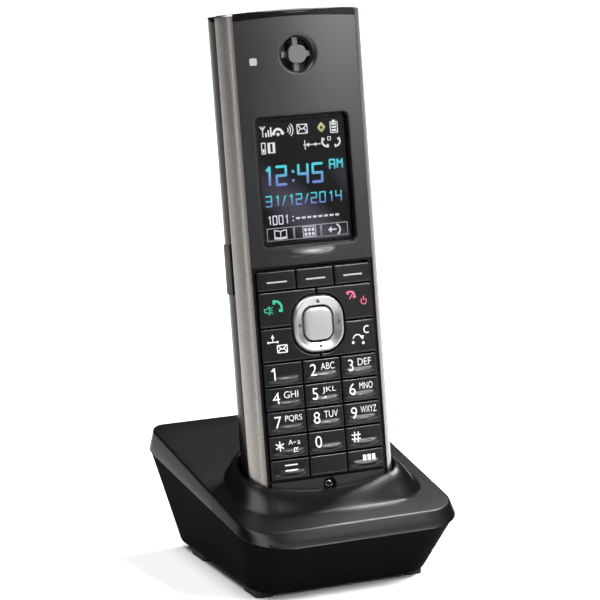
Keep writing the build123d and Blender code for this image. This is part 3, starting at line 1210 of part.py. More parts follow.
with BuildPart() as charger_feet:
    with BuildSketch():
        with Locations(*PADS):
            RectangleRounded(PAD_WIDTH, PAD_LENGTH, PAD_CORNER)
    extrude(amount=FOOT_HEIGHT + PAD_RECESS)
finish(charger_feet.part, "charger_feet")

with BuildPart() as charger_circuit_board:
    with BuildSketch(Plane.XY.offset(CHARGER_BOARD_Z)):
        with Locations((0, (CHARGER_BOARD_FRONT + CHARGER_BOARD_BACK) / 2)):
            RectangleRounded(CHARGER_BOARD_WIDTH, CHARGER_BOARD_BACK - CHARGER_BOARD_FRONT, BOARD_CORNER)
    extrude(amount=CHARGER_BOARD_THICKNESS)
    with BuildSketch(Plane.XY.offset(CHARGER_BOARD_Z + CHARGER_BOARD_THICKNESS)):
        with Locations(*CHARGER_CHIPS):
            Rectangle(*CHARGER_CHIP[:2])
    extrude(amount=CHARGER_CHIP[2])
finish(charger_circuit_board.part, "charger_circuit_board")

# Two upright strips pass through the pocket floor and meet the handset's contacts.
with BuildPart() as charging_contacts:
    with BuildSketch(cross_plane(-RIB_GAP)):
        with Locations(*STRIP_PLACES):
            Rectangle(STRIP_WIDTH, STRIP_THICKNESS)
    extrude(amount=-FAR / 8)
    with BuildSketch(cross_plane(-RIB_GAP)):
        with Locations(*STRIP_PLACES):
            Rectangle(STRIP_WIDTH, STRIP_WIDTH)
    extrude(amount=-STRIP_THICKNESS)
    split(bisect_by=Plane.XY.offset(CHARGER_BOARD_Z + CHARGER_BOARD_THICKNESS + RIB_GAP), keep=Keep.TOP)
finish(charging_contacts.part, "charging_contacts")

with BuildPart() as dc_inlet_socket:
    with BuildSketch(Plane.XZ.offset(-INLET_FACE_Y)):
        with Locations((0, INLET_Z)):
            Rectangle(INLET_WIDTH, INLET_HEIGHT)
    extrude(amount=INLET_LENGTH)
    with BuildSketch(Plane.XZ.offset(-INLET_FACE_Y)):
        with Locations((0, INLET_Z)):
            Circle(INLET_BORE / 2)
    extrude(amount=INLET_BORE_DEPTH, mode=Mode.SUBTRACT)
finish(dc_inlet_socket.part, "dc_inlet_socket")

finish(screws(CHARGER_POSTS, Plane.XY.offset(SCREW_SEAT_Z - RIB_GAP), 1), "charger_screws")
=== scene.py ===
import json
from math import acos, asin, atan2, cos, exp, pi, radians, sin, sqrt, tau

import bmesh
import bpy
from mathutils import Matrix, Vector


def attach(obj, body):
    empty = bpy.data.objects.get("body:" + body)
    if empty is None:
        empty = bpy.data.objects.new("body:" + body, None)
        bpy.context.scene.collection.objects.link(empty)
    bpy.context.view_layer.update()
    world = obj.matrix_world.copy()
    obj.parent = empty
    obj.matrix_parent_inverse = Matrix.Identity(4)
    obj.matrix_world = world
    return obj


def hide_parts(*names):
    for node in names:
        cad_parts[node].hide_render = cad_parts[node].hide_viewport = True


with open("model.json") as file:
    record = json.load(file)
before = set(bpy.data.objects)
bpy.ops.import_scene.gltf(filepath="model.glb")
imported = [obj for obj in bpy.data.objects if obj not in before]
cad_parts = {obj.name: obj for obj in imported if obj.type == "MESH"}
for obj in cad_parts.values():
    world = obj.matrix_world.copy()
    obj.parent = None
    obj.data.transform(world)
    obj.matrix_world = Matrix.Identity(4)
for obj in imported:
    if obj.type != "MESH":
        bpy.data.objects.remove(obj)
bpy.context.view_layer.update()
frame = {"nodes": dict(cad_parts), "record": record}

# Cordless telephone in its desk charger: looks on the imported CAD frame.
# Metres in the row frame.  MM turns the millimetre sizes below into metres.
# Handset pieces are placed in the handset's own directions, as in the CAD:
# u across to the right, v up from its bottom end, depth back from the plane of its trims.
MM = 0.001
NODES = frame["nodes"]

# ------------------------------------------------------------ handset frame
LEAN = radians(11.6)
FOOT = Vector((0, -17.4, 20.6))
ACROSS = Vector((1, 0, 0))
ALONG = Vector((0, sin(LEAN), cos(LEAN)))
OUT = Vector((0, -cos(LEAN), sin(LEAN)))
HALF_WIDTH = 24.0
FACE_HALF = 20.6
FACE_CROWN = 0.9
CROWN_RADIUS = (FACE_HALF**2 + FACE_CROWN**2) / (2 * FACE_CROWN)
TRIM_DEPTH = 5.2
TRIM_RADIUS = ((HALF_WIDTH - FACE_HALF) ** 2 + TRIM_DEPTH**2) / (2 * (HALF_WIDTH - FACE_HALF))
BACK_RADIUS = 16.0
THICKNESS = 22.5
KEY_RISE = 0.45
PRINT_LIFT = 0.03
FASCIA_LIFT = 0.012           # keeps a laid-on shape clear of the fascia

# ------------------------------------------------------------ charger
DECK_FRONT = (-34.5, 23.5)
DECK_BACK = (39.45, 37.4)
DECK_WIDTH = 70.7
PARTING_FRONT = (-40.4, 19.9)
PARTING_BACK = (40.4, 30.5)
PARTING_WIDTH = 72.6
DECK_CORNER = 9.0             # front corners seen from above
PARTING_CORNER = 14.0
CHARGER_BACK_CORNER = 5.0
CHARGER_WALL = 2.0
SLOT_CLEARANCE = 0.6
POCKET_GAP = 0.6
COLLAR_SIDE = 4.8             # height of the collar above the deck at the sides
COLLAR_FRONT = 2.5            # and in the middle of the front lip
LIP_ROUNDING = 0.9


def place(u, v, depth):
    """Point in metres from handset directions in millimetres."""
    return (FOOT + ACROSS * u + ALONG * v - OUT * depth) * MM


def crown(u):
    """Height of the face above the trim plane."""
    return sqrt(CROWN_RADIUS**2 - u * u) - (CROWN_RADIUS - FACE_CROWN)


def extent(node):
    """(least, most) of u, v and depth over a CAD node's vertices, in millimetres."""
    spots = [vertex.co / MM - FOOT for vertex in NODES[node].data.vertices]
    return [(min(s.dot(d) for s in spots), max(s.dot(d) for s in spots))
            for d in (ACROSS, ALONG, -OUT)]


# ------------------------------------------------------------ mesh helpers
def make_mesh(name, points, faces, sharp_angle=35):
    """A smooth-shaded object with edges sharper than the angle kept sharp."""
    mesh = bpy.data.meshes.new(name)
    mesh.from_pydata(points, [], faces)
    work = bmesh.new()
    work.from_mesh(mesh)
    bmesh.ops.remove_doubles(work, verts=work.verts, dist=1e-7)
    bmesh.ops.recalc_face_normals(work, faces=work.faces)
    work.to_mesh(mesh)
    work.free()
    mesh.polygons.foreach_set("use_smooth", [True] * len(mesh.polygons))
    mesh.set_sharp_from_angle(angle=radians(sharp_angle))
    piece = bpy.data.objects.new(name, mesh)
    bpy.context.scene.collection.objects.link(piece)
    return piece


def finish_piece(piece, body, material, replaces=()):
    """Gives a piece its material and its body."""
    piece.data.materials.clear()
    piece.data.materials.append(material)
    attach(piece, body)
    if replaces:
        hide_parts(*replaces)


def loft(name, loops, cap_first=True, cap_last=True, sharp_angle=35):
    """Skin over closed loops of equal length."""
    count = len(loops[0])
    points = [p for loop in loops for p in loop]
    faces = []
    for k in range(len(loops) - 1):
        for i in range(count):
            j = (i + 1) % count
            faces.append((k * count + i, k * count + j, (k + 1) * count + j, (k + 1) * count + i))
    if cap_first:
        faces.append(tuple(range(count)))
    if cap_last:
        faces.append(tuple(range((len(loops) - 1) * count, len(loops) * count)))
    return make_mesh(name, points, faces, sharp_angle)


def rounded_rectangle(half_width, half_height, corner, steps=10):
    """Outline points (x, y), anticlockwise."""
    corner = max(min(corner, half_width, half_height), 0.01)
    outline = []
    for quarter in range(4):
        middle_x = (half_width - corner) * (1 if quarter in (0, 3) else -1)
        middle_y = (half_height - corner) * (1 if quarter in (0, 1) else -1)
        for step in range(steps + 1):
            angle = (quarter + step / steps) * pi / 2
            outline.append((middle_x + corner * cos(angle), middle_y + corner * sin(angle)))
    return outline


def smooth(x):
    """Smooth step from 0 to 1."""
    x = min(max(x, 0.0), 1.0)
    return x * x * (3 - 2 * x)


# ------------------------------------------------------------ materials
def new_material(name):
    material = bpy.data.materials.new(name)
    material.use_nodes = True
    return material, material.node_tree.nodes, material.node_tree.links


def noise(nodes, links, scale, detail=3.0):
    """Noise fixed to the piece, at features per metre."""
    place_node = nodes.new("ShaderNodeTexCoord")
    texture = nodes.new("ShaderNodeTexNoise")
    texture.inputs["Scale"].default_value = scale
    texture.inputs["Detail"].default_value = detail
    links.new(place_node.outputs["Object"], texture.inputs["Vector"])
    return texture


def spread(nodes, links, source, low, high):
    """Maps a 0 to 1 value to a range."""
    change = nodes.new("ShaderNodeMapRange")
    change.inputs["From Min"].default_value = 0.3
    change.inputs["From Max"].default_value = 0.7
    change.inputs["To Min"].default_value = low
    change.inputs["To Max"].default_value = high
    links.new(source, change.inputs["Value"])
    return change.outputs["Result"]


def two_tone(nodes, links, source, low, high):
    """Colour ramp between two colours."""
    ramp = nodes.new("ShaderNodeValToRGB")
    ramp.color_ramp.elements[0].position = 0.3
    ramp.color_ramp.elements[1].position = 0.7
    ramp.color_ramp.elements[0].color = (*low, 1)
    ramp.color_ramp.elements[1].color = (*high, 1)
    links.new(source, ramp.inputs["Fac"])
    return ramp.outputs["Color"]


def tint(level):
    """A colour as it is, or a grey from one number."""
    return level if isinstance(level, tuple) else (level, level, level)


def surface(name, low, high, rough=(0.4, 0.5), grain=0.4, bump=0.02, metallic=0.0, specular=0.5):
    """Moulded or painted surface: colour, roughness and relief all follow a grain in millimetres."""
    material, nodes, links = new_material(name)
    shader = nodes["Principled BSDF"]
    grains = noise(nodes, links, 1 / (grain * MM))
    clouds = noise(nodes, links, 40.0, 2.0)
    colour = two_tone(nodes, links, grains.outputs["Fac"], tint(low), tint(high))
    links.new(colour, shader.inputs["Base Color"])
    links.new(spread(nodes, links, clouds.outputs["Fac"], *rough), shader.inputs["Roughness"])
    relief = nodes.new("ShaderNodeBump")
    relief.inputs["Strength"].default_value = 1.0
    relief.inputs["Distance"].default_value = bump * MM
    links.new(grains.outputs["Fac"], relief.inputs["Height"])
    links.new(relief.outputs["Normal"], shader.inputs["Normal"])
    shader.inputs["Metallic"].default_value = metallic
    shader.inputs["Specular IOR Level"].default_value = specular
    return material


def glow(name, low, high, strength):
    """Lit display marks, with a colour change from their lower edge to their upper edge."""
    material, nodes, links = new_material(name)
    shader = nodes["Principled BSDF"]
    shader.inputs["Base Color"].default_value = (0, 0, 0, 1)
    shader.inputs["Emission Strength"].default_value = strength
    where = nodes.new("ShaderNodeTexCoord")
    split = nodes.new("ShaderNodeSeparateXYZ")
    links.new(where.outputs["Generated"], split.inputs["Vector"])
    links.new(two_tone(nodes, links, split.outputs["Z"], low, high), shader.inputs["Emission Color"])
    return material


def lens(name):
    """Clear window: light passes straight through and its front face keeps a clean reflection."""
    material, nodes, links = new_material(name)
    output = nodes["Material Output"]
    nodes.remove(nodes["Principled BSDF"])
    clear = nodes.new("ShaderNodeBsdfTransparent")
    gloss = nodes.new("ShaderNodeBsdfGlossy")
    facing = nodes.new("ShaderNodeLayerWeight")
    facing.inputs["Blend"].default_value = 0.5
    steep = nodes.new("ShaderNodeMath")
    steep.operation = "POWER"
    steep.inputs[1].default_value = 5.0
    share = nodes.new("ShaderNodeMath")
    share.operation = "MULTIPLY_ADD"
    share.inputs[1].default_value = 0.96
    share.inputs[2].default_value = 0.04
    links.new(facing.outputs["Facing"], steep.inputs[0])
    links.new(steep.outputs["Value"], share.inputs[0])
    mix = nodes.new("ShaderNodeMixShader")
    gloss.inputs["Color"].default_value = (0.3, 0.3, 0.3, 1)
    smudge = noise(nodes, links, 60.0)
    links.new(spread(nodes, links, smudge.outputs["Fac"], 0.02, 0.06), gloss.inputs["Roughness"])
    links.new(share.outputs["Value"], mix.inputs["Fac"])
    links.new(clear.outputs["BSDF"], mix.inputs[1])
    links.new(gloss.outputs["BSDF"], mix.inputs[2])
    links.new(mix.outputs["Shader"], output.inputs["Surface"])
    return material


CASE = surface("case_black", 0.001, (0.003, 0.003, 0.0033), rough=(0.30, 0.34), grain=0.28, bump=0.022,
               specular=0.16)
LOWER_CASE = surface("lower_case_black", 0.002, 0.005, rough=(0.45, 0.5), grain=0.22, bump=0.008,
                     specular=0.002)
BACK_CASE = surface("back_case_black", (0.002, 0.002, 0.0022), (0.004, 0.004, 0.0043),
                    rough=(0.22, 0.27), grain=0.25, bump=0.001, specular=0.05)
SATIN = surface("satin_black", (0.0035, 0.0036, 0.0045), (0.005, 0.0052, 0.0062), rough=(0.30, 0.34),
                grain=0.15, bump=0.001, specular=0.4)
KEY = surface("key_black", (0.0025, 0.0025, 0.0028), (0.0045, 0.0045, 0.005), rough=(0.25, 0.29),
              grain=0.18, bump=0.001, specular=0.32)
BRONZE = surface("trim_bronze", (0.19, 0.172, 0.160), (0.36, 0.335, 0.315), rough=(0.30, 0.36),
                 grain=0.25, bump=0.006, metallic=0.92)
SILVER = surface("silver_paint", (0.30, 0.293, 0.285), (0.36, 0.352, 0.345), rough=(0.34, 0.38),
                 grain=0.15, bump=0.001, metallic=0.95)
CENTRE = surface("centre_silver", (0.26, 0.255, 0.25), (0.31, 0.304, 0.30), rough=(0.38, 0.44),
                 grain=0.15, bump=0.001, metallic=0.7)
GREY = surface("grille_grey", (0.035, 0.035, 0.036), (0.05, 0.05, 0.052), rough=(0.35, 0.4), grain=0.2,
               bump=0.002)
INDICATOR = surface("indicator_grey", (0.20, 0.20, 0.205), (0.25, 0.25, 0.255), rough=(0.3, 0.35),
                    grain=0.3, bump=0.001)
RUBBER = surface("rubber_black", 0.005, 0.009, rough=(0.55, 0.65), grain=0.2, bump=0.004, specular=0.3)
SOCKET = surface("socket_black", 0.004, 0.007, rough=(0.3, 0.4), grain=0.4, bump=0.002)
GLASS = surface("display_glass", (0.0015, 0.0015, 0.002), (0.002, 0.002, 0.0025), rough=(0.3, 0.4),
                grain=0.4, bump=0.0, specular=0.1)
STEEL = surface("pressed_steel", 0.45, 0.55, rough=(0.25, 0.35), grain=0.3, bump=0.001, metallic=1.0)
PLATED = surface("contact_plated", (0.62, 0.58, 0.48), (0.7, 0.66, 0.56), rough=(0.18, 0.26), grain=0.3,
                 bump=0.001, metallic=1.0)
BOARD = surface("board_green", (0.01, 0.09, 0.03), (0.02, 0.13, 0.045), rough=(0.4, 0.5), grain=1.5,
                bump=0.004)
SPEAKER = surface("speaker_black", 0.005, 0.01, rough=(0.6, 0.8), grain=0.3, bump=0.01)
SLEEVE = surface("cell_sleeve", (0.05, 0.2, 0.1), (0.07, 0.25, 0.13), rough=(0.3, 0.35), grain=2.0,
                 bump=0.001)
PRINT = surface("white_print", 0.5, 0.58, rough=(0.5, 0.6), grain=0.2, bump=0.0005)
BEAD = surface("bead_gloss", 0.004, 0.006, rough=(0.12, 0.16), grain=0.3, bump=0.0, specular=0.8)
BAR = surface("soft_key_bar", 0.22, 0.28, rough=(0.35, 0.4), grain=0.2, bump=0.0005)
GREEN_PRINT = surface("green_print", (0.0, 0.22, 0.12), (0.0, 0.28, 0.15), rough=(0.5, 0.6), grain=0.2,
                      bump=0.0005)
RED_PRINT = surface("red_print", (0.38, 0.05, 0.10), (0.46, 0.07, 0.13), rough=(0.5, 0.6), grain=0.2,
                    bump=0.0005)
DARK_PRINT = surface("dark_print", 0.01, 0.02, rough=(0.5, 0.6), grain=0.2, bump=0.0005)
LENS = lens("window_clear")
CLOCK = glow("clock_cyan", (0.10, 0.22, 0.62), (0.02, 0.62, 0.72), 1.0)
WHITE_GLOW = glow("display_white", (0.75, 0.76, 0.85), (0.85, 0.86, 0.9), 0.9)
YELLOW_GLOW = glow("display_yellow", (0.5, 0.45, 0.15), (0.7, 0.65, 0.3), 0.9)
BOX_GLOW = glow("display_box", (0.25, 0.25, 0.28), (0.4, 0.4, 0.43), 0.9)


def display_background():
    """Dark display with a soft violet swirl across its lower right."""
    material, nodes, links = new_material("display_background")
    shader = nodes["Principled BSDF"]
    shader.inputs["Base Color"].default_value = (0, 0, 0, 1)
    shader.inputs["Roughness"].default_value = 0.4
    shader.inputs["Specular IOR Level"].default_value = 0.1
    shader.inputs["Emission Strength"].default_value = 0.45
    where = nodes.new("ShaderNodeTexCoord")
    mapping = nodes.new("ShaderNodeMapping")
    mapping.inputs["Rotation"].default_value = (0, radians(-38), 0)
    mapping.inputs["Location"].default_value = (0.1, 0, 0.35)
    wave = nodes.new("ShaderNodeTexWave")
    wave.wave_type = "BANDS"
    wave.bands_direction = "Z"
    wave.inputs["Scale"].default_value = 0.55
    wave.inputs["Distortion"].default_value = 2.2
    wave.inputs["Detail"].default_value = 1.0
    links.new(where.outputs["Generated"], mapping.inputs["Vector"])
    links.new(mapping.outputs["Vector"], wave.inputs["Vector"])
    split = nodes.new("ShaderNodeSeparateXYZ")
    links.new(where.outputs["Generated"], split.inputs["Vector"])
    fade = nodes.new("ShaderNodeMapRange")
    fade.inputs["From Min"].default_value = 0.72
    fade.inputs["From Max"].default_value = 0.35
    links.new(split.outputs["Z"], fade.inputs["Value"])
    amount = nodes.new("ShaderNodeMath")
    amount.operation = "MULTIPLY"
    links.new(wave.outputs["Fac"], amount.inputs[0])
    links.new(fade.outputs["Result"], amount.inputs[1])
    ramp = nodes.new("ShaderNodeValToRGB")
    ramp.color_ramp.elements[0].position = 0.15
    ramp.color_ramp.elements[0].color = (0.0, 0.0, 0.002, 1)
    ramp.color_ramp.elements[1].position = 1.0
    ramp.color_ramp.elements[1].color = (0.14, 0.13, 0.19, 1)
    links.new(amount.outputs["Value"], ramp.inputs["Fac"])
    links.new(ramp.outputs["Color"], shader.inputs["Emission Color"])
    return material


SLOT_MATERIALS = {
    "case_black": CASE, "case_satin_black": SATIN, "trim_bronze": BRONZE, "key_black": KEY,
    "key_silver": SILVER, "grille_grey": GREY, "window_clear": LENS, "display_glass": GLASS,
    "pressed_steel": STEEL, "board_green": BOARD, "speaker_black": SPEAKER, "socket_black": SOCKET,
    "rubber_black": RUBBER, "contact_plated": PLATED, "cell_sleeve": SLEEVE,
}
OWN_MATERIALS = {"back_shell": BACK_CASE, "battery_cover": BACK_CASE, "indicator_lens": INDICATOR,
                 "charger_bottom_shell": LOWER_CASE, "microphone_bead": BEAD,
                 "display_panel": display_background()}
for subpart in frame["record"]["subparts"]:
    node = NODES[subpart["node"]]
    node.data.materials.clear()
    node.data.materials.append(OWN_MATERIALS.get(subpart["node"], SLOT_MATERIALS[subpart["material_slot"]]))

# ------------------------------------------------------------ side trims
TRIM_WALL = 1.4
TRIM_END_ROUNDING = 0.8
TRIM_STEPS = 24


def side_trim(side, node):
    """Curved metallic strip along one edge of the face, with rounded ends."""
    _, (v0, v1), _ = extent(node)
    inner = TRIM_RADIUS - TRIM_WALL
    middle_u = HALF_WIDTH - TRIM_RADIUS
    steps = (0.0, 0.03, 0.1, 0.22, 0.4, 0.6, TRIM_END_ROUNDING)
    span = [v0 + k for k in range(1, int(v1 - v0 - TRIM_END_ROUNDING))]
    outer_start = acos(TRIM_DEPTH / TRIM_RADIUS)
    inner_start = asin((FACE_HALF - middle_u) / inner)
    turns = [k / TRIM_STEPS for k in range(TRIM_STEPS + 1)]
    loops = []
    for v in [v0] + span + [v1 - step for step in reversed(steps)]:
        near = TRIM_END_ROUNDING - min(v1 - v, TRIM_END_ROUNDING)
        outer = TRIM_RADIUS - TRIM_END_ROUNDING + sqrt(TRIM_END_ROUNDING**2 - near**2)
        section = [(outer, outer_start + (pi / 2 - outer_start) * turn) for turn in turns]
        section += [(inner, pi / 2 - (pi / 2 - inner_start) * turn) for turn in turns]
        loops.append([place(side * (middle_u + radius * sin(angle)), v, TRIM_DEPTH - radius * cos(angle))
                      for radius, angle in section])
    strip = loft(node + "_strip", loops, True, True, 40)
    finish_piece(strip, "handset", BRONZE, [node])


side_trim(-1, "side_trim_left")
side_trim(1, "side_trim_right")

# ------------------------------------------------------------ key caps
EDGE = 0.32                   # rounding of a key's upper edges
EDGE_STEPS = (0.0, 0.03, 0.09, 0.18, EDGE)


def edge_drop(distance):
    """How far the surface is below the key's top this near to its edge."""
    if distance >= EDGE:
        return 0.0
    return EDGE - sqrt(EDGE**2 - (EDGE - max(distance, 0.0)) ** 2)


def stations(length, spacing=0.5):
    """Distances along a key: close together at both rounded ends."""
    inner = length - 2 * EDGE
    count = max(int(inner / spacing), 2)
    middle = [EDGE + inner * k / count for k in range(1, count)]
    return list(EDGE_STEPS) + middle + [length - step for step in reversed(EDGE_STEPS)]


def cap_from_grid(name, grid, height, bottom):
    """Key cap from a grid of (u, v): its top follows height(u, v) and its sides go down to bottom."""
    rows, columns = len(grid), len(grid[0])
    points = [place(u, v, -height(u, v)) for row in grid for u, v in row]
    faces = []
    for r in range(rows - 1):
        for c in range(columns - 1):
            a = r * columns + c
            faces.append((a, a + 1, a + columns + 1, a + columns))
    rim = [(0, c) for c in range(columns)]
    rim += [(r, columns - 1) for r in range(1, rows)]
    rim += [(rows - 1, c) for c in range(columns - 2, -1, -1)]
    rim += [(r, 0) for r in range(rows - 2, 0, -1)]
    base = len(points)
    points += [place(*grid[r][c], bottom) for r, c in rim]
    for k, (r, c) in enumerate(rim):
        nr, nc = rim[(k + 1) % len(rim)]
        faces.append((r * columns + c, nr * columns + nc, base + (k + 1) % len(rim), base + k))
    faces.append(tuple(base + k for k in range(len(rim))))
    return make_mesh(name, points, faces, 50)


RIDGE_ABOVE_EDGE = 1.7
RIDGE_HALF = 5.2


def ridge(u, v, middle_u, low):
    """Pillow ridge along the lower edge of a dial key, with its ends curving up."""
    across = (u - middle_u) / RIDGE_HALF
    if abs(across) >= 1:
        return 0.0
    line = low + RIDGE_ABOVE_EDGE + 0.35 * across**2
    away = (v - line) / (0.75 if v > line else 0.5)
    return 0.42 * (1 - across**2) ** 0.8 * exp(-away * away)


def rectangular_key(node, with_ridge):
    """A plain key cap over its CAD node, with or without the ridge."""
    (u0, u1), (v0, v1), (_, bottom) = extent(node)
    middle = (u0 + u1) / 2

    def height(u, v):
        base = crown(u) + KEY_RISE - edge_drop(min(u - u0, u1 - u, v - v0, v1 - v))
        return base + (ridge(u, v, middle, v0) if with_ridge else 0.0)

    grid = [[(u0 + a, v0 + b) for a in stations(u1 - u0)] for b in stations(v1 - v0, 0.22)]
    cap = cap_from_grid(node + "_cap", grid, height, bottom)
    finish_piece(cap, node, KEY, [node])


(_, RING_U1), (RING_V0, RING_V1), (RING_TOP, RING_BOTTOM) = extent("navigator_ring")
RING_V = (RING_V0 + RING_V1) / 2
RING_HALF = (RING_U1, (RING_V1 - RING_V0) / 2)
RING_CORNER = 7.0
KEY_GAP = 0.5


def ring_outline_at(angle, grow):
    """Point of the ring's outline, grown outwards, in the direction of angle."""
    corner = RING_CORNER + grow
    half_u, half_v = RING_HALF[0] + grow, RING_HALF[1] + grow
    direction = Vector((cos(angle), sin(angle)))
    reach = min(half_u / max(abs(direction.x), 1e-6), half_v / max(abs(direction.y), 1e-6))
    spot = direction * reach
    middle = Vector((half_u - corner, half_v - corner))
    if abs(spot.x) > middle.x and abs(spot.y) > middle.y:
        centre = Vector((middle.x * (1 if spot.x > 0 else -1), middle.y * (1 if spot.y > 0 else -1)))
        along = direction.dot(centre)
        reach = along + sqrt(max(along**2 - centre.length_squared + corner**2, 0.0))
        spot = direction * reach
    return spot


def ring_distance(u, v):
    """Distance from the ring's outline, outside it."""
    x = abs(u) - (RING_HALF[0] - RING_CORNER)
    y = abs(v - RING_V) - (RING_HALF[1] - RING_CORNER)
    outside = sqrt(max(x, 0) ** 2 + max(y, 0) ** 2) + min(max(x, y), 0)
    return outside - RING_CORNER


def corner_key(node):
    """A call key: a rectangle whose inner corner follows the navigator ring."""
    (u0, u1), (v0, v1), (_, bottom) = extent(node)
    side = -1 if u0 < -1 else 1
    upper = v1 > RING_V + 1
    far_u = u0 if side < 0 else u1
    near_u = u1 if side < 0 else u0
    far_v = v1 if upper else v0
    near_v = v0 if upper else v1

    def height(u, v):
        edge = min(abs(u - far_u), abs(near_u - u), abs(v - far_v), abs(v - near_v),
                   ring_distance(u, v) - KEY_GAP)
        return crown(u) + KEY_RISE - edge_drop(edge)

    def start_angle():
        """Direction in which the ring's gap meets the key's edge beside the ring."""
        return atan2(near_v - RING_V, side * (RING_HALF[0] + KEY_GAP))

    def end_angle():
        """Direction in which it meets the key's edge above or below the ring."""
        return atan2((RING_HALF[1] + KEY_GAP) * (1 if upper else -1), near_u)

    first, last = start_angle(), end_angle()
    if side < 0 and first < 0:
        first += tau
    if side < 0 and last < 0:
        last += tau
    corner = Vector((far_u, far_v))
    outer_from = Vector((far_u, near_v))
    outer_to = Vector((near_u, far_v))
    length_a = (corner - outer_from).length
    length_b = (outer_to - corner).length
    total = length_a + length_b
    rows = []
    places = sorted(set(stations(total, 0.5) + [length_a]))
    for along in places:
        share = along / total
        angle = first + (last - first) * share
        inner = ring_outline_at(angle, KEY_GAP) + Vector((0, RING_V))
        if along <= length_a:
            outer = outer_from.lerp(corner, along / length_a)
        else:
            outer = corner.lerp(outer_to, (along - length_a) / length_b)
        if share == 0:
            inner.y = near_v
        if share == 1:
            inner.x = near_u
        span = (outer - inner).length
        rows.append([tuple(inner.lerp(outer, b / span)) for b in even_stations(span)])
    cap = cap_from_grid(node + "_cap", rows, height, bottom)
    finish_piece(cap, node, KEY, [node])


def even_stations(length, count=18):
    """The same number of distances for any length."""
    inner = length - 2 * EDGE
    middle = [EDGE + inner * k / count for k in range(1, count)]
    return list(EDGE_STEPS) + middle + [length - step for step in reversed(EDGE_STEPS)]


DIAL_KEYS = ["key_star", "key_0", "key_hash"] + [f"key_{digit}" for digit in range(1, 10)]
for key_name in DIAL_KEYS + ["line_key", "function_key"]:
    rectangular_key(key_name, True)
for key_name in ("softkey_left", "softkey_middle", "softkey_right"):
    rectangular_key(key_name, False)
for key_name in ("talk_key", "off_key", "transfer_key", "clear_key"):
    corner_key(key_name)


def blank_plate():
    """The fixed plate between the two lowest keys."""
    (u0, u1), (v0, v1), (_, bottom) = extent("blank_key_plate")

    def height(u, v):
        return crown(u) + KEY_RISE - edge_drop(min(u - u0, u1 - u, v - v0, v1 - v))

    grid = [[(u0 + a, v0 + b) for a in stations(u1 - u0)] for b in stations(v1 - v0)]
    plate = cap_from_grid("blank_plate", grid, height, bottom)
    finish_piece(plate, "handset", KEY, ["blank_key_plate"])


blank_plate()


# ------------------------------------------------------------ navigator
def outline_loop(outline, middle_v, depth):
    return [place(x, y + middle_v, depth) for x, y in outline]


def navigator():
    """Dished silver ring round a pillow-shaped centre key."""
    (_, cu1), (cv0, cv1), (centre_top, centre_bottom) = extent("centre_key")
    centre_half = (cu1, (cv1 - cv0) / 2)
    hole_half = (centre_half[0] + KEY_GAP, centre_half[1] + KEY_GAP)
    top = RING_TOP
    width = RING_HALF[0] - hole_half[0]
    profile = [(0.0, RING_BOTTOM), (0.0, top + 1.5), (0.05, top + 1.1), (0.15, top + 0.7),
               (0.32, top + 0.35), (0.55, top + 0.1), (0.8, top), (1.1, top + 0.03), (1.5, top + 0.16),
               (width - 1.2, top + 0.5), (width - 0.6, top + 0.74), (width - 0.25, top + 0.86),
               (width - 0.1, top + 1.0), (width, top + 1.3), (width, RING_BOTTOM)]
    loops = []
    for inset, depth in profile:
        share = inset / width
        half_u = RING_HALF[0] + (hole_half[0] - RING_HALF[0]) * share
        half_v = RING_HALF[1] + (hole_half[1] - RING_HALF[1]) * share
        corner = RING_CORNER + (3.5 - RING_CORNER) * share
        loops.append(outline_loop(rounded_rectangle(half_u, half_v, corner, 16), RING_V, depth))
    loops.append(loops[0])
    ring = loft("navigator_ring_dished", loops, False, False, 60)
    finish_piece(ring, "navigator_ring", SILVER, ["navigator_ring"])

    profile = [(0.0, centre_bottom), (0.0, centre_top + 0.6), (0.08, centre_top + 0.38),
               (0.25, centre_top + 0.2), (0.5, centre_top + 0.1), (1.0, centre_top + 0.04),
               (2.0, centre_top + 0.01), (3.4, centre_top)]
    loops = [outline_loop(rounded_rectangle(centre_half[0] - inset, centre_half[1] - inset,
                                            max(3.0 - inset * 0.8, 0.4), 16), RING_V, depth)
             for inset, depth in profile]
    centre = loft("centre_key_pillow", loops, True, True, 60)
    finish_piece(centre, "centre_key", CENTRE, ["centre_key"])


navigator()


# ------------------------------------------------------------ flat marks: printed and lit
TEXT_OFFSET = -0.006          # thins the letters, in their own units


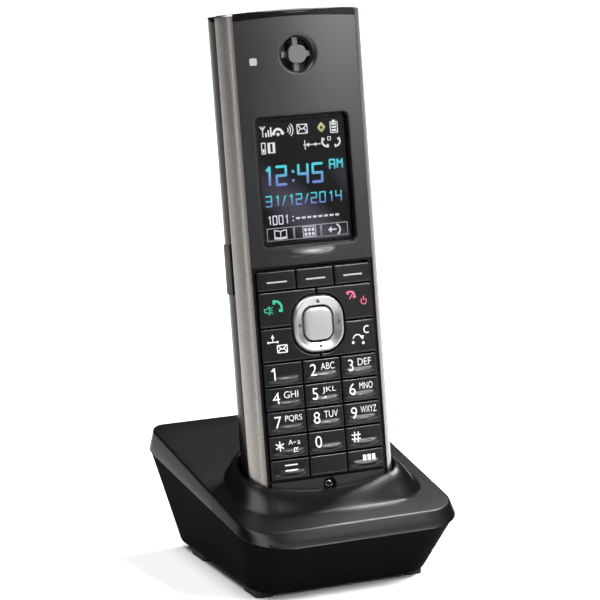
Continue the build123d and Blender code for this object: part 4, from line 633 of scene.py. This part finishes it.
class Marks:
    """Collects flat shapes in handset directions and lays them on a surface."""

    def __init__(self):
        self.points = []
        self.faces = []

    def polygon(self, outline):
        start = len(self.points)
        self.points += list(outline)
        self.faces.append(tuple(range(start, len(self.points))))

    def box(self, u0, v0, u1, v1):
        self.polygon([(u0, v0), (u1, v0), (u1, v1), (u0, v1)])

    def disc(self, u, v, radius, radius_v=None, steps=20):
        radius_v = radius_v or radius
        self.polygon([(u + radius * cos(tau * k / steps), v + radius_v * sin(tau * k / steps))
                      for k in range(steps)])

    def line(self, points, width, closed=False):
        """Stroke of one width with square joints filled by discs."""
        points = [Vector(p) for p in points]
        if closed:
            points.append(points[0])
        for a, b in zip(points, points[1:]):
            along = (b - a).normalized() * (width / 2)
            side = Vector((-along.y, along.x))
            self.polygon([tuple(a + side), tuple(a - side), tuple(b - side), tuple(b + side)])
        for spot in points[1:-1]:
            self.disc(spot.x, spot.y, width / 2, steps=10)

    def arc(self, u, v, radius, start, end, width, steps=14):
        """Round stroke between two angles in degrees."""
        turn = [radians(start + (end - start) * k / steps) for k in range(steps + 1)]
        outer = [(u + (radius + width / 2) * cos(a), v + (radius + width / 2) * sin(a)) for a in turn]
        inner = [(u + (radius - width / 2) * cos(a), v + (radius - width / 2) * sin(a)) for a in turn]
        for k in range(steps):
            self.polygon([outer[k], outer[k + 1], inner[k + 1], inner[k]])

    def text(self, words, u, v, height, width=None):
        """Words centred at u, v, with capitals of that height."""
        curve = bpy.data.curves.new("words", "FONT")
        curve.body = words
        curve.offset = TEXT_OFFSET
        holder = bpy.data.objects.new("words", curve)
        bpy.context.scene.collection.objects.link(holder)
        bpy.context.view_layer.update()
        flat = holder.evaluated_get(bpy.context.evaluated_depsgraph_get()).to_mesh()
        spots = [(vertex.co.x, vertex.co.y) for vertex in flat.vertices]
        polygons = [tuple(face.vertices) for face in flat.polygons]
        low_x, high_x = min(s[0] for s in spots), max(s[0] for s in spots)
        low_y, high_y = min(s[1] for s in spots), max(s[1] for s in spots)
        scale_v = height / (high_y - low_y)
        scale_u = width / (high_x - low_x) if width else scale_v
        start = len(self.points)
        self.points += [(u + (x - (low_x + high_x) / 2) * scale_u, v + (y - (low_y + high_y) / 2) * scale_v)
                        for x, y in spots]
        self.faces += [tuple(start + k for k in face) for face in polygons]
        holder.to_mesh_clear()
        bpy.data.objects.remove(holder)
        bpy.data.curves.remove(curve)

    def lay(self, name, body, material, depth_at):
        """Makes the piece; depth_at(u, v) is the surface it lies on."""
        mesh = bpy.data.meshes.new(name)
        mesh.from_pydata([place(u, v, depth_at(u, v)) for u, v in self.points], [], self.faces)
        piece = bpy.data.objects.new(name, mesh)
        bpy.context.scene.collection.objects.link(piece)
        finish_piece(piece, body, material)

    def light(self, name, material):
        """Makes a lit piece on the display."""
        self.lay(name, "handset", material, lambda u, v: LIT_DEPTH)


def on_key(low=None, middle=None):
    """Depth just above a key's surface, on its ridge too if it has one."""
    def depth_at(u, v):
        lift = ridge(u, v, middle, low) if low is not None else 0.0
        return -(crown(u) + KEY_RISE + lift + PRINT_LIFT)
    return depth_at


def phone_icon(marks, u, v, size, turn):
    """Handset of a telephone: a thick bow with two blunt ends."""
    radius = size * 0.62
    middle = Vector((u, v)) - Vector((cos(radians(turn)), sin(radians(turn)))) * radius * 0.6
    marks.arc(middle.x, middle.y, radius, turn - 48, turn + 48, size * 0.22)
    for end in (-1, 1):
        angle = radians(turn + end * 50)
        spot = middle + Vector((cos(angle), sin(angle))) * radius * 0.93
        tangent = Vector((-sin(angle), cos(angle))) * end
        side = Vector((cos(angle), sin(angle)))
        marks.polygon([tuple(spot + side * size * 0.17), tuple(spot - side * size * 0.22),
                       tuple(spot - side * size * 0.22 + tangent * size * 0.26),
                       tuple(spot + side * size * 0.17 + tangent * size * 0.26)])


def speaker_icon(marks, u, v, size):
    """Loudspeaker with three sound lines."""
    back, neck, front = u - 0.5 * size, u - 0.2 * size, u + 0.1 * size
    narrow, wide = 0.18 * size, 0.45 * size
    marks.line([(back, v - narrow), (back, v + narrow), (neck, v + narrow),
                (front, v + wide), (front, v - wide), (neck, v - narrow)], 0.1 * size, closed=True)
    for tilt in (-1, 0, 1):
        marks.line([(u + 0.22 * size, v + 0.18 * tilt * size),
                    (u + 0.5 * size, v + 0.36 * tilt * size)], 0.09 * size)


def envelope_icon(marks, u, v, half_u, half_v, width):
    marks.line([(u - half_u, v - half_v), (u + half_u, v - half_v), (u + half_u, v + half_v),
                (u - half_u, v + half_v)], width, closed=True)
    marks.line([(u - half_u, v + half_v), (u, v - 0.15 * half_v), (u + half_u, v + half_v)], width)
    marks.line([(u - half_u, v - half_v), (u - 0.3 * half_u, v + 0.2 * half_v)], width)
    marks.line([(u + half_u, v - half_v), (u + 0.3 * half_u, v + 0.2 * half_v)], width)


def print_dial():
    """Digits and the usual letters on the dial keys."""
    letters = {"2": "ABC", "3": "DEF", "4": "GHI", "5": "JKL",
               "6": "MNO", "7": "PQRS", "8": "TUV", "9": "WXYZ"}
    for key_name in DIAL_KEYS:
        (u0, u1), (v0, v1), _ = extent(key_name)
        middle_u, middle_v = (u0 + u1) / 2, (v0 + v1) / 2
        digit = {"key_star": "*", "key_hash": "#"}.get(key_name, key_name[-1])
        marks = Marks()
        if digit == "*":
            for k in range(3):
                angle = pi / 2 + k * pi / 3
                reach = 1.5
                left, level = middle_u - 3.0, middle_v + 0.4
                marks.line([(left + reach * cos(angle), level + reach * sin(angle)),
                            (left - reach * cos(angle), level - reach * sin(angle))], 0.38)
            marks.text("A", middle_u + 0.55, middle_v + 1.3, 1.5)
            marks.line([(middle_u + 1.5, middle_v + 1.2), (middle_u + 2.3, middle_v + 1.2)], 0.25)
            marks.text("a", middle_u + 3.3, middle_v + 1.05, 1.1)
            bell(marks, middle_u + 2.0, middle_v - 1.1)
        elif digit == "#":
            for offset in (-0.62, 0.62):
                marks.line([(middle_u - 2.9 + offset - 0.15, middle_v - 1.2),
                            (middle_u - 2.9 + offset + 0.2, middle_v + 1.9)], 0.36)
                marks.line([(middle_u - 4.5, middle_v + 0.35 + offset),
                            (middle_u - 1.3, middle_v + 0.35 + offset)], 0.36)
        elif digit == "1":
            marks.line([(middle_u - 3.9, middle_v + 1.2), (middle_u - 3.0, middle_v + 2.0),
                        (middle_u - 3.0, middle_v - 1.5)], 0.42)
        else:
            marks.text(digit, middle_u - 3.0, middle_v + 0.35, 3.5)
        if digit in letters:
            extra = len(letters[digit]) - 3
            marks.text(letters[digit], middle_u + 1.9 + 0.25 * extra, middle_v + 1.1, 2.05,
                       4.7 + 0.9 * extra)
        if digit == "5":
            marks.disc(middle_u + 0.4, middle_v - 0.9, 0.3, 0.22)
        marks.lay(key_name + "_print", key_name, PRINT, on_key(v0, middle_u))


def bell(marks, u, v):
    """Bell with a line through it."""
    marks.arc(u, v + 0.15, 0.45, 0, 180, 0.22, 10)
    marks.line([(u - 0.45, v + 0.15), (u - 0.62, v - 0.55)], 0.2)
    marks.line([(u + 0.45, v + 0.15), (u + 0.62, v - 0.55)], 0.2)
    marks.line([(u - 0.8, v - 0.58), (u + 0.8, v - 0.58)], 0.2)
    marks.line([(u - 0.9, v - 0.8), (u + 0.95, v + 0.8)], 0.18)


def print_call_keys():
    """Coloured and white icons round the navigator."""
    marks = Marks()
    phone_icon(marks, -13.0, 65.0, 3.3, 38)
    speaker_icon(marks, -16.2, 63.7, 2.7)
    marks.lay("talk_print", "talk_key", GREEN_PRINT, on_key())
    marks = Marks()
    phone_icon(marks, 11.9, 66.1, 2.6, 62)
    marks.line([(11.1, 64.6), (12.9, 66.9)], 0.36)
    marks.arc(16.1, 63.6, 0.95, 125, 415, 0.32)
    marks.line([(16.1, 63.8), (16.1, 65.2)], 0.32)
    marks.lay("off_print", "off_key", RED_PRINT, on_key())
    marks = Marks()
    marks.line([(-17.1, 54.1), (-14.1, 54.1)], 0.26)
    marks.disc(-17.1, 54.1, 0.34)
    marks.disc(-14.1, 54.1, 0.34)
    marks.line([(-15.6, 54.1), (-15.6, 55.5)], 0.26)
    marks.polygon([(-16.15, 55.3), (-15.05, 55.3), (-15.6, 56.4)])
    envelope_icon(marks, -12.7, 51.9, 1.6, 1.1, 0.28)
    marks.lay("transfer_print", "transfer_key", PRINT, on_key())
    marks = Marks()
    marks.arc(13.0, 51.9, 1.7, 25, 160, 0.32)
    marks.disc(11.35, 51.3, 0.45)
    marks.disc(14.9, 50.9, 0.45)
    marks.polygon([(13.8, 53.0), (15.3, 53.2), (14.75, 51.9)])
    marks.arc(16.5, 54.9, 1.05, 55, 305, 0.36)
    marks.lay("clear_print", "clear_key", PRINT, on_key())
    for key_name, middle_u in (("line_key", -12.6), ("function_key", 14.0)):
        (u0, u1), (v0, v1), _ = extent(key_name)
        marks = Marks()
        low, high = (v0 + v1) / 2 - 0.3, (v0 + v1) / 2 + 1.3
        if key_name == "line_key":
            marks.line([(middle_u - 2.1, high), (middle_u + 2.1, high)], 0.38)
            marks.line([(middle_u - 2.1, low), (middle_u + 2.1, low)], 0.38)
        else:
            for k in range(3):
                marks.box(middle_u - 2.2 + 1.6 * k, low - 0.1, middle_u - 1.0 + 1.6 * k, high + 0.1)
        marks.lay(key_name + "_print", key_name, PRINT, on_key(v0, (u0 + u1) / 2))


def soft_key_bars():
    """A raised bar on each soft key."""
    for key_name in ("softkey_left", "softkey_middle", "softkey_right"):
        (u0, u1), (v0, v1), _ = extent(key_name)
        middle_u, middle_v = (u0 + u1) / 2, (v0 + v1) / 2 - 0.4
        loops = []
        for inset, rise in ((0.0, -0.05), (0.05, 0.08), (0.14, 0.14), (0.22, 0.16)):
            outline = rounded_rectangle(3.4 - inset, 0.26 - inset * 0.7, 0.26, 4)
            loops.append([place(middle_u + x, middle_v + y, -(crown(middle_u + x) + KEY_RISE + rise))
                          for x, y in outline])
        bar = loft(key_name + "_bar", loops, True, True, 60)
        finish_piece(bar, key_name, BAR)


def ring_marks():
    """Small arrows pressed into the ring's four sides."""
    marks = Marks()
    arrow = 1.35
    mid_u, mid_v = RING_HALF[0] - 1.65, RING_HALF[1] - 1.7
    for u, v, turn in ((0, RING_V + mid_v, 90), (0, RING_V - mid_v, 270),
                       (mid_u, RING_V, 0), (-mid_u, RING_V, 180)):
        tip = Vector((cos(radians(turn)), sin(radians(turn)))) * arrow * 0.5
        side = Vector((-tip.y, tip.x))
        spot = Vector((u, v))
        marks.polygon([tuple(spot + tip), tuple(spot - tip + side), tuple(spot - tip - side)])
    marks.lay("navigator_arrows", "navigator_ring", DARK_PRINT, lambda u, v: RING_TOP + 0.1)


print_dial()
print_call_keys()
soft_key_bars()
ring_marks()

# ------------------------------------------------------------ display
LIT_HALF = 14.0
LIT_DEPTH = extent("display_panel")[2][0] - 0.02
SEGMENTS = {"0": "abcdef", "1": "bc", "2": "abged", "3": "abgcd", "4": "fgbc", "5": "afgcd", "6": "afgedc",
            "7": "abc", "8": "abcdefg", "9": "gfabcd", "A": "efabcg"}


def segment_text(marks, words, u, v, width, height, pitch, stroke, slant=0.04):
    """Digits drawn like a clock's, from u to the right with their feet at v."""
    ends = {"a": ((0, 2), (1, 2)), "b": ((1, 2), (1, 1)), "c": ((1, 1), (1, 0)), "d": ((0, 0), (1, 0)),
            "e": ((0, 1), (0, 0)), "f": ((0, 2), (0, 1)), "g": ((0, 1), (1, 1))}

    def spot(x, y):
        return (u + x * width + y * height * slant / 2, v + y * height / 2)

    for letter in words:
        if letter == ":":
            for level in (0.35, 1.35):
                x, y = spot(0.2, level)
                marks.box(x - stroke / 2, y - stroke / 2, x + stroke / 2, y + stroke / 2)
            u += pitch * 0.5
        elif letter == "/":
            marks.line([spot(0.0, 0.0), spot(0.6, 2.0)], stroke)
            u += pitch * 0.72
        elif letter == "1":
            marks.line([spot(0.25, 1.6), spot(0.6, 2.0), spot(0.6, 0.0)], stroke)
            u += pitch * 0.86
        elif letter == "M":
            marks.line([spot(0, 0), spot(0, 2), spot(0.5, 1.1), spot(1, 2), spot(1, 0)], stroke)
            u += pitch
        else:
            for name in SEGMENTS[letter]:
                marks.line([spot(*ends[name][0]), spot(*ends[name][1])], stroke)
            for name in SEGMENTS[letter]:
                for end in ends[name]:
                    marks.disc(*spot(*end), stroke / 2, steps=8)
            u += pitch


def display_marks():
    """Clock, date, icons and three soft-key boxes, all generic."""
    marks = Marks()
    segment_text(marks, "12:45", -13.4, 101.0, 3.1, 5.4, 4.9, 0.8)
    segment_text(marks, "AM", 9.0, 104.6, 1.7, 2.6, 2.6, 0.5)
    marks.light("display_clock", CLOCK)
    marks = Marks()
    segment_text(marks, "31/12/2014", -13.3, 94.7, 1.8, 3.0, 2.95, 0.4)
    marks.light("display_date", CLOCK)

    marks = Marks()
    for k in range(3):
        marks.box(-11.9 + 0.85 * k, 115.6, -11.4 + 0.85 * k, 116.8 + 0.8 * k)
    marks.line([(-13.6, 118.8), (-12.7, 117.6), (-11.8, 118.8)], 0.3)
    marks.line([(-12.7, 118.8), (-12.7, 115.6)], 0.3)
    marks.arc(-7.6, 116.2, 1.5, 20, 160, 0.75)
    marks.disc(-9.1, 116.4, 0.6, 0.5)
    marks.disc(-6.1, 116.4, 0.6, 0.5)
    marks.disc(-7.6, 116.1, 0.5)
    for k in range(3):
        marks.arc(-4.9, 117.2, 0.8 + 0.8 * k, -50, 50, 0.3)
    envelope_icon(marks, 0.6, 117.2, 1.7, 1.35, 0.3)
    marks.line([(10.2, 115.4), (12.6, 115.4), (12.6, 118.6), (10.2, 118.6)], 0.3, closed=True)
    marks.box(10.9, 118.6, 11.9, 119.2)
    for k in range(3):
        marks.box(10.6, 115.8 + 0.95 * k, 12.2, 116.4 + 0.95 * k)
    marks.line([(-13.4, 110.6), (-12.2, 110.6), (-12.2, 113.8), (-13.4, 113.8)], 0.3, closed=True)
    marks.box(-13.1, 111.0, -12.5, 112.0)
    marks.box(-11.4, 110.6, -8.9, 110.95)
    marks.box(-11.4, 113.45, -8.9, 113.8)
    marks.box(-11.4, 110.6, -10.55, 113.8)
    marks.box(-9.75, 110.6, -8.9, 113.8)
    marks.line([(0.6, 112.3), (6.6, 112.3)], 0.26)
    marks.line([(1.2, 110.9), (1.2, 113.7)], 0.3)
    marks.polygon([(1.5, 112.3), (2.6, 113.0), (2.6, 111.6)])
    marks.polygon([(4.0, 112.3), (5.0, 112.9), (5.0, 111.7)])
    phone_icon(marks, 7.9, 112.4, 2.6, 215)
    marks.line([(9.0, 113.2), (10.0, 113.2), (10.0, 114.2), (9.0, 114.2)], 0.22, closed=True)
    phone_icon(marks, 12.4, 112.3, 2.4, 330)
    segment_text(marks, "1001", -13.1, 89.2, 1.25, 2.5, 2.0, 0.36, 0.0)
    marks.disc(-4.6, 89.9, 0.25, steps=8)
    marks.disc(-4.6, 91.1, 0.25, steps=8)
    for k in range(8):
        marks.box(-3.6 + 1.9 * k, 90.2, -2.3 + 1.9 * k, 90.8)
    soft_icons(marks)
    marks.light("display_icons", WHITE_GLOW)
    marks = Marks()
    marks.line([(7.1, 116.0), (8.1, 117.2), (7.1, 118.4), (6.1, 117.2)], 0.7, closed=True)
    marks.light("display_diamond", YELLOW_GLOW)
    marks = Marks()
    for k in range(3):
        left = -LIT_HALF + 0.35 + k * 9.2
        marks.line([(left, 84.3), (left + 8.8, 84.3), (left + 8.8, 88.0), (left, 88.0)], 0.22, closed=True)
    marks.light("display_boxes", BOX_GLOW)


def soft_icons(marks):
    """Book, grid and call-back arrow in the three boxes."""
    book = -9.2
    for side in (-1, 1):
        marks.line([(book, 84.9), (book + side * 2.0, 85.3),
                    (book + side * 2.0, 87.4), (book, 87.0)], 0.32, closed=True)
    marks.line([(book - 2.3, 84.9), (book, 84.7), (book + 2.3, 84.9)], 0.3)
    for column in range(3):
        for row in range(2):
            marks.box(-1.15 + 1.25 * column, 84.95 + 1.3 * row, -0.25 + 1.25 * column, 85.9 + 1.3 * row)
    marks.line([(-1.6, 84.6), (2.7, 84.6), (2.7, 87.7), (-1.6, 87.7)], 0.2, closed=True)
    marks.line([(7.6, 86.1), (9.8, 86.1)], 0.4)
    marks.polygon([(6.9, 86.1), (8.1, 87.1), (8.1, 85.1)])
    marks.arc(9.3, 86.0, 1.7, -60, 70, 0.5)


display_marks()


# ------------------------------------------------------------ fascia details
def window_bevel():
    """Rounded lip of the window opening, which catches the light."""
    (u0, u1), (v0, v1), _ = extent("display_window")
    middle_v = (v0 + v1) / 2
    half_u, half_v = u1 + 0.1, (v1 - v0) / 2 + 0.1
    loops = []
    for grow, rise in ((0.95, FASCIA_LIFT), (0.8, 0.015), (0.62, -0.03), (0.42, -0.16),
                       (0.24, -0.36), (0.1, -0.62), (0.0, -0.95), (-0.06, -1.2)):
        outline = rounded_rectangle(half_u + grow, half_v + grow, 1.7 + grow, 8)
        finer = []
        for (ax, ay), (bx, by) in zip(outline, outline[1:] + outline[:1]):
            steps = 24 if abs(bx - ax) + abs(by - ay) > 10 else 1
            finer += [(ax + (bx - ax) * k / steps, ay + (by - ay) * k / steps) for k in range(steps)]
        loops.append([place(x, middle_v + y, -(crown(x) + rise)) for x, y in finer])
    lip = loft("window_lip", loops, False, False, 80)
    finish_piece(lip, "handset", SATIN)


RECESS_DEPTH = 1.5


def earpiece_recess():
    """Soft funnel from the fascia down to the grille."""
    _, (v0, v1), _ = extent("earpiece_grille")
    middle_v = (v0 + v1) / 2
    loops = []
    steps = 64
    hole, recess, lip = (5.15, 5.15), (6.45, 5.95), 0.35
    for k in range(15):
        turn = k / 14 * pi / 2
        share = sin(turn)
        drop = RECESS_DEPTH * (1 - cos(turn)) - FASCIA_LIFT
        reach = [wide + lip + (narrow - wide - lip) * share for wide, narrow in zip(recess, hole)]
        loops.append([place(reach[0] * cos(angle), middle_v + reach[1] * sin(angle),
                            drop - crown(reach[0] * cos(angle)))
                      for angle in (tau * j / steps for j in range(steps))])
    funnel = loft("earpiece_funnel", loops, False, False, 80)
    finish_piece(funnel, "handset", SATIN)


def crescent():
    """Shallow raised crescent under the window."""
    half, low, high = 8.4, 78.2, 81.6
    columns, rows = 60, 26
    points, faces = [], []
    for r in range(rows + 1):
        for c in range(columns + 1):
            u = -half + 2 * half * c / columns
            v = low + (high - low) * r / rows
            across = u / half
            fold = 79.2 + 0.55 * across**2
            window = max(1 - across**2, 0.0) ** 1.2
            above = (high - v) / (high - fold)
            rise = smooth(above) if v > fold else smooth((v - (fold - 0.55)) / 0.55)
            bulge = 0.62 * window * rise - 0.03 * (1 - min(window * 4, 1))
            points.append(place(u, v, -(crown(u) + FASCIA_LIFT + bulge)))
    for r in range(rows):
        for c in range(columns):
            a = r * (columns + 1) + c
            faces.append((a, a + 1, a + columns + 2, a + columns + 1))
    lip = make_mesh("fascia_crescent", points, faces, 80)
    finish_piece(lip, "handset", SATIN)


window_bevel()
earpiece_recess()
crescent()


# ------------------------------------------------------------ charger top with its collar
def slot_outline(steps=320):
    """(u, depth, normal u, normal depth) evenly round the handset's cross-section."""
    dense = []

    def arc(centre_u, centre_d, radius, first, last, count=60):
        for k in range(count):
            angle = first + (last - first) * k / count
            dense.append((centre_u + radius * sin(angle), centre_d - radius * cos(angle),
                          sin(angle), -cos(angle)))

    crown_half = acos((CROWN_RADIUS - FACE_CROWN) / CROWN_RADIUS)
    trim_start = acos(TRIM_DEPTH / TRIM_RADIUS)
    side_u = HALF_WIDTH
    arc(0, CROWN_RADIUS - FACE_CROWN, CROWN_RADIUS, 0, crown_half)
    arc(side_u - TRIM_RADIUS, TRIM_DEPTH, TRIM_RADIUS, trim_start, pi / 2)
    arc(side_u - BACK_RADIUS, THICKNESS - BACK_RADIUS, BACK_RADIUS, pi / 2, pi)
    flat = side_u - BACK_RADIUS
    for k in range(40):
        dense.append((flat - 2 * flat * k / 40, THICKNESS, 0, 1))
    arc(-flat, THICKNESS - BACK_RADIUS, BACK_RADIUS, pi, 1.5 * pi)
    arc(-(side_u - TRIM_RADIUS), TRIM_DEPTH, TRIM_RADIUS, -pi / 2, -trim_start)
    arc(0, CROWN_RADIUS - FACE_CROWN, CROWN_RADIUS, -crown_half, 0)
    return evenly(dense, steps)


def evenly(dense, steps):
    """Points evenly spaced along a closed line of tuples, by their first two values."""
    closed = dense + dense[:1]
    lengths = [0.0]
    for a, b in zip(closed, closed[1:]):
        lengths.append(lengths[-1] + sqrt((b[0] - a[0]) ** 2 + (b[1] - a[1]) ** 2))
    even, j = [], 0
    for k in range(steps):
        want = lengths[-1] * k / steps
        while lengths[j + 1] < want:
            j += 1
        share = (want - lengths[j]) / max(lengths[j + 1] - lengths[j], 1e-9)
        even.append(tuple(p + (q - p) * share for p, q in zip(closed[j], closed[j + 1])))
    return even


class Slope:
    """A plane through two (y, z) points, level across, with x and t along it."""

    def __init__(self, front, back):
        self.front = Vector((0, front[0], front[1]))
        self.run = Vector((0, back[0] - front[0], back[1] - front[1]))
        self.length = self.run.length
        self.along = self.run.normalized()
        self.normal = Vector((1, 0, 0)).cross(self.along)

    def spot(self, x, t, lift=0.0):
        return self.front + Vector((x, 0, 0)) + self.along * t + self.normal * lift

    def outline(self, width, front_corner, inset, steps, lift=0.0):
        """Rounded outline from the middle of the front edge, anticlockwise seen from above."""
        half_width, half_length = width / 2 - inset, self.length / 2 - inset
        back = rounded_rectangle(half_width, half_length, CHARGER_BACK_CORNER - inset, 24)
        front = rounded_rectangle(half_width, half_length, front_corner - inset, 24)
        shape = [spot for spot in back if spot[1] > 0] + [spot for spot in front if spot[1] < 0]
        dense = []
        for (ax, ay), (bx, by) in zip(shape, shape[1:] + shape[:1]):
            parts = 30 if abs(ax - bx) + abs(ay - by) > 5 else 1
            dense += [(ax + (bx - ax) * k / parts, ay + (by - ay) * k / parts) for k in range(parts)]
        start = min(range(len(dense)), key=lambda k: (abs(dense[k][0]) + (1000 if dense[k][1] > 0 else 0)))
        even = evenly(dense[start:] + dense[:start], steps)
        return [self.spot(x, y + self.length / 2, lift) for x, y in even]


def charger_top():
    """Deck, band and collar of the charger as one smooth skin."""
    deck = Slope(DECK_FRONT, DECK_BACK)
    parting = Slope(PARTING_FRONT, PARTING_BACK)
    count = 320
    rim = slot_outline(count)
    rise_per_along = ALONG.dot(deck.normal)

    def slot_point(spot, outward, along):
        """Point beside the slot's outline, so far up the handset's length from its foot."""
        u, depth, nu, nd = spot
        away = SLOT_CLEARANCE + outward
        return FOOT + ACROSS * (u + nu * away) - OUT * (depth + nd * away) + ALONG * along

    def wall_point(spot, lift, outward):
        """Point on the slot's wall at a height above the deck, moved outwards."""
        start = slot_point(spot, outward, 0.0)
        gap = lift - (start - deck.front).dot(deck.normal)
        return start + ALONG * (gap / rise_per_along)

    def collar_height(spot):
        front = smooth((-spot[3] - 0.55) / 0.4)
        scoop = (COLLAR_SIDE - COLLAR_FRONT) * max(1 - (spot[0] / 22.5) ** 2, 0.0)
        return COLLAR_SIDE - scoop * front

    def collar_spread(spot):
        return 5.0 + 4.0 * smooth((-spot[3] + 0.2) / 1.2)

    loops = []
    floor_depth = -POCKET_GAP
    loops.append([slot_point(s, 0.0, floor_depth) for s in rim])
    loops.append([wall_point(s, -2.0, 0.0) for s in rim])
    for turn in (0, 15, 30, 45, 60, 75, 90):
        angle = radians(turn)
        drop = LIP_ROUNDING * (1 - sin(angle))
        outward = LIP_ROUNDING * (1 - cos(angle))
        loops.append([wall_point(s, collar_height(s) - drop, outward) for s in rim])
    for share in (0.06, 0.13, 0.21, 0.3, 0.4, 0.5, 0.6, 0.7, 0.8, 0.9, 1.0):
        loop = []
        for s in rim:
            spread_out = collar_spread(s)
            outward = LIP_ROUNDING + (spread_out - LIP_ROUNDING) * share
            fall = (1 - share**2) ** 1.5
            loop.append(wall_point(s, collar_height(s) * fall, outward))
        loops.append(loop)
    foot = loops[-1]
    edge_round = 0.6
    rounded_in = deck.outline(DECK_WIDTH, DECK_CORNER, edge_round, count)
    for share in (0.25, 0.5, 0.75):
        loops.append([a.lerp(b, share) for a, b in zip(foot, rounded_in)])
    corner = deck.outline(DECK_WIDTH, DECK_CORNER, 0.0, count)
    low = parting.outline(PARTING_WIDTH, PARTING_CORNER, 0.0, count)
    below = [c + (p - c).normalized() * edge_round for c, p in zip(corner, low)]
    for share in (0.0, 0.2, 0.4, 0.6, 0.8, 1.0):
        loops.append([a * (1 - share) ** 2 + c * 2 * share * (1 - share) + b * share**2
                      for a, c, b in zip(rounded_in, corner, below)])
    loops.append([a.lerp(b, 0.5) for a, b in zip(below, low)])
    loops.append([a.lerp(b, 0.96) for a, b in zip(below, low)])
    loops.append(parting.outline(PARTING_WIDTH, PARTING_CORNER, 0.12, count))
    loops.append(parting.outline(PARTING_WIDTH, PARTING_CORNER, CHARGER_WALL, count, 0.05))
    loops.append(deck.outline(DECK_WIDTH, DECK_CORNER, CHARGER_WALL + 0.4, count, -CHARGER_WALL))
    outer_wall = 1.6
    loops.append([wall_point(s, -CHARGER_WALL, outer_wall) for s in rim])
    loops.append([slot_point(s, outer_wall, floor_depth - outer_wall) for s in rim])
    top = loft("charger_top", [[p * MM for p in loop] for loop in loops], True, True, 42)
    finish_piece(top, "charger", CASE, ["charger_top_shell"])


charger_top()


# ------------------------------------------------------------ studio
def area_light(name, spot, target, size, energy):
    light = bpy.data.lights.new(name, "AREA")
    light.shape = "RECTANGLE"
    light.size, light.size_y = size
    light.energy = energy
    holder = bpy.data.objects.new(name, light)
    bpy.context.scene.collection.objects.link(holder)
    holder.location = spot
    holder.rotation_euler = (Vector(target) - Vector(spot)).to_track_quat("-Z", "Y").to_euler()


def studio():
    """Pale floor, soft lights and a dim even surround."""
    mesh = bpy.data.meshes.new("floor")
    reach = 4.0
    corners = [(-reach, -reach, 0), (reach, -reach, 0), (reach, reach, 0), (-reach, reach, 0)]
    mesh.from_pydata(corners, [], [(0, 1, 2, 3)])
    floor = bpy.data.objects.new("floor", mesh)
    bpy.context.scene.collection.objects.link(floor)
    pale = surface("floor_pale", 0.86, 0.88, rough=(0.8, 0.9),
                   grain=8.0, bump=0.0, specular=0.1)
    floor.data.materials.append(pale)
    world = bpy.data.worlds.new("surround")
    world.use_nodes = True
    world.node_tree.nodes["Background"].inputs["Color"].default_value = (1, 1, 1, 1)
    world.node_tree.nodes["Background"].inputs["Strength"].default_value = 0.05
    bpy.context.scene.world = world
    sun = bpy.data.lights.new("sky_light", "SUN")
    sun.energy = 3.4
    sun.angle = radians(40)
    holder = bpy.data.objects.new("sky_light", sun)
    bpy.context.scene.collection.objects.link(holder)
    holder.rotation_euler = Vector((0.35, 0.1, -0.92)).to_track_quat("-Z", "Y").to_euler()
    middle = (0, 0, 0.08)
    area_light("back_light", (0.445, 0.36, 0.83), (0, 0, 0.05), (0.14, 0.14), 8.0)
    area_light("ridge_light", (0.44, -0.48, 0.83), middle, (0.18, 0.18), 13.0)
    area_light("sheen_light", (0.52, -0.66, 0.46), (0, 0, 0.16), (0.2, 0.2), 4.2)
    area_light("trim_light", (-0.66, -0.60, 0.20), (0, 0, 0.12), (0.1, 0.6), 0.75)
    bpy.context.scene.view_settings.view_transform = "Standard"


def camera():
    """From the front left, a little above, with a long lens."""
    azimuth, elevation, roll = radians(-27.35), radians(14.20), radians(1.07)
    back = Vector((sin(azimuth) * cos(elevation), -cos(azimuth) * cos(elevation), sin(elevation)))
    right = Vector((0, 0, 1)).cross(back).normalized()
    up = back.cross(right)
    turned_right = right * cos(roll) + up * sin(roll)
    turned_up = up * cos(roll) - right * sin(roll)
    lens_data = bpy.data.cameras.new("camera")
    lens_data.sensor_width = 36.0
    lens_data.lens = 179.5
    lens_data.clip_start = 0.05
    holder = bpy.data.objects.new("camera", lens_data)
    bpy.context.scene.collection.objects.link(holder)
    holder.matrix_world = Matrix.Translation((-0.4070, -0.7812, 0.3065)) @ Matrix(
        (turned_right, turned_up, back)).transposed().to_4x4()
    bpy.context.scene.camera = holder


studio()
camera()
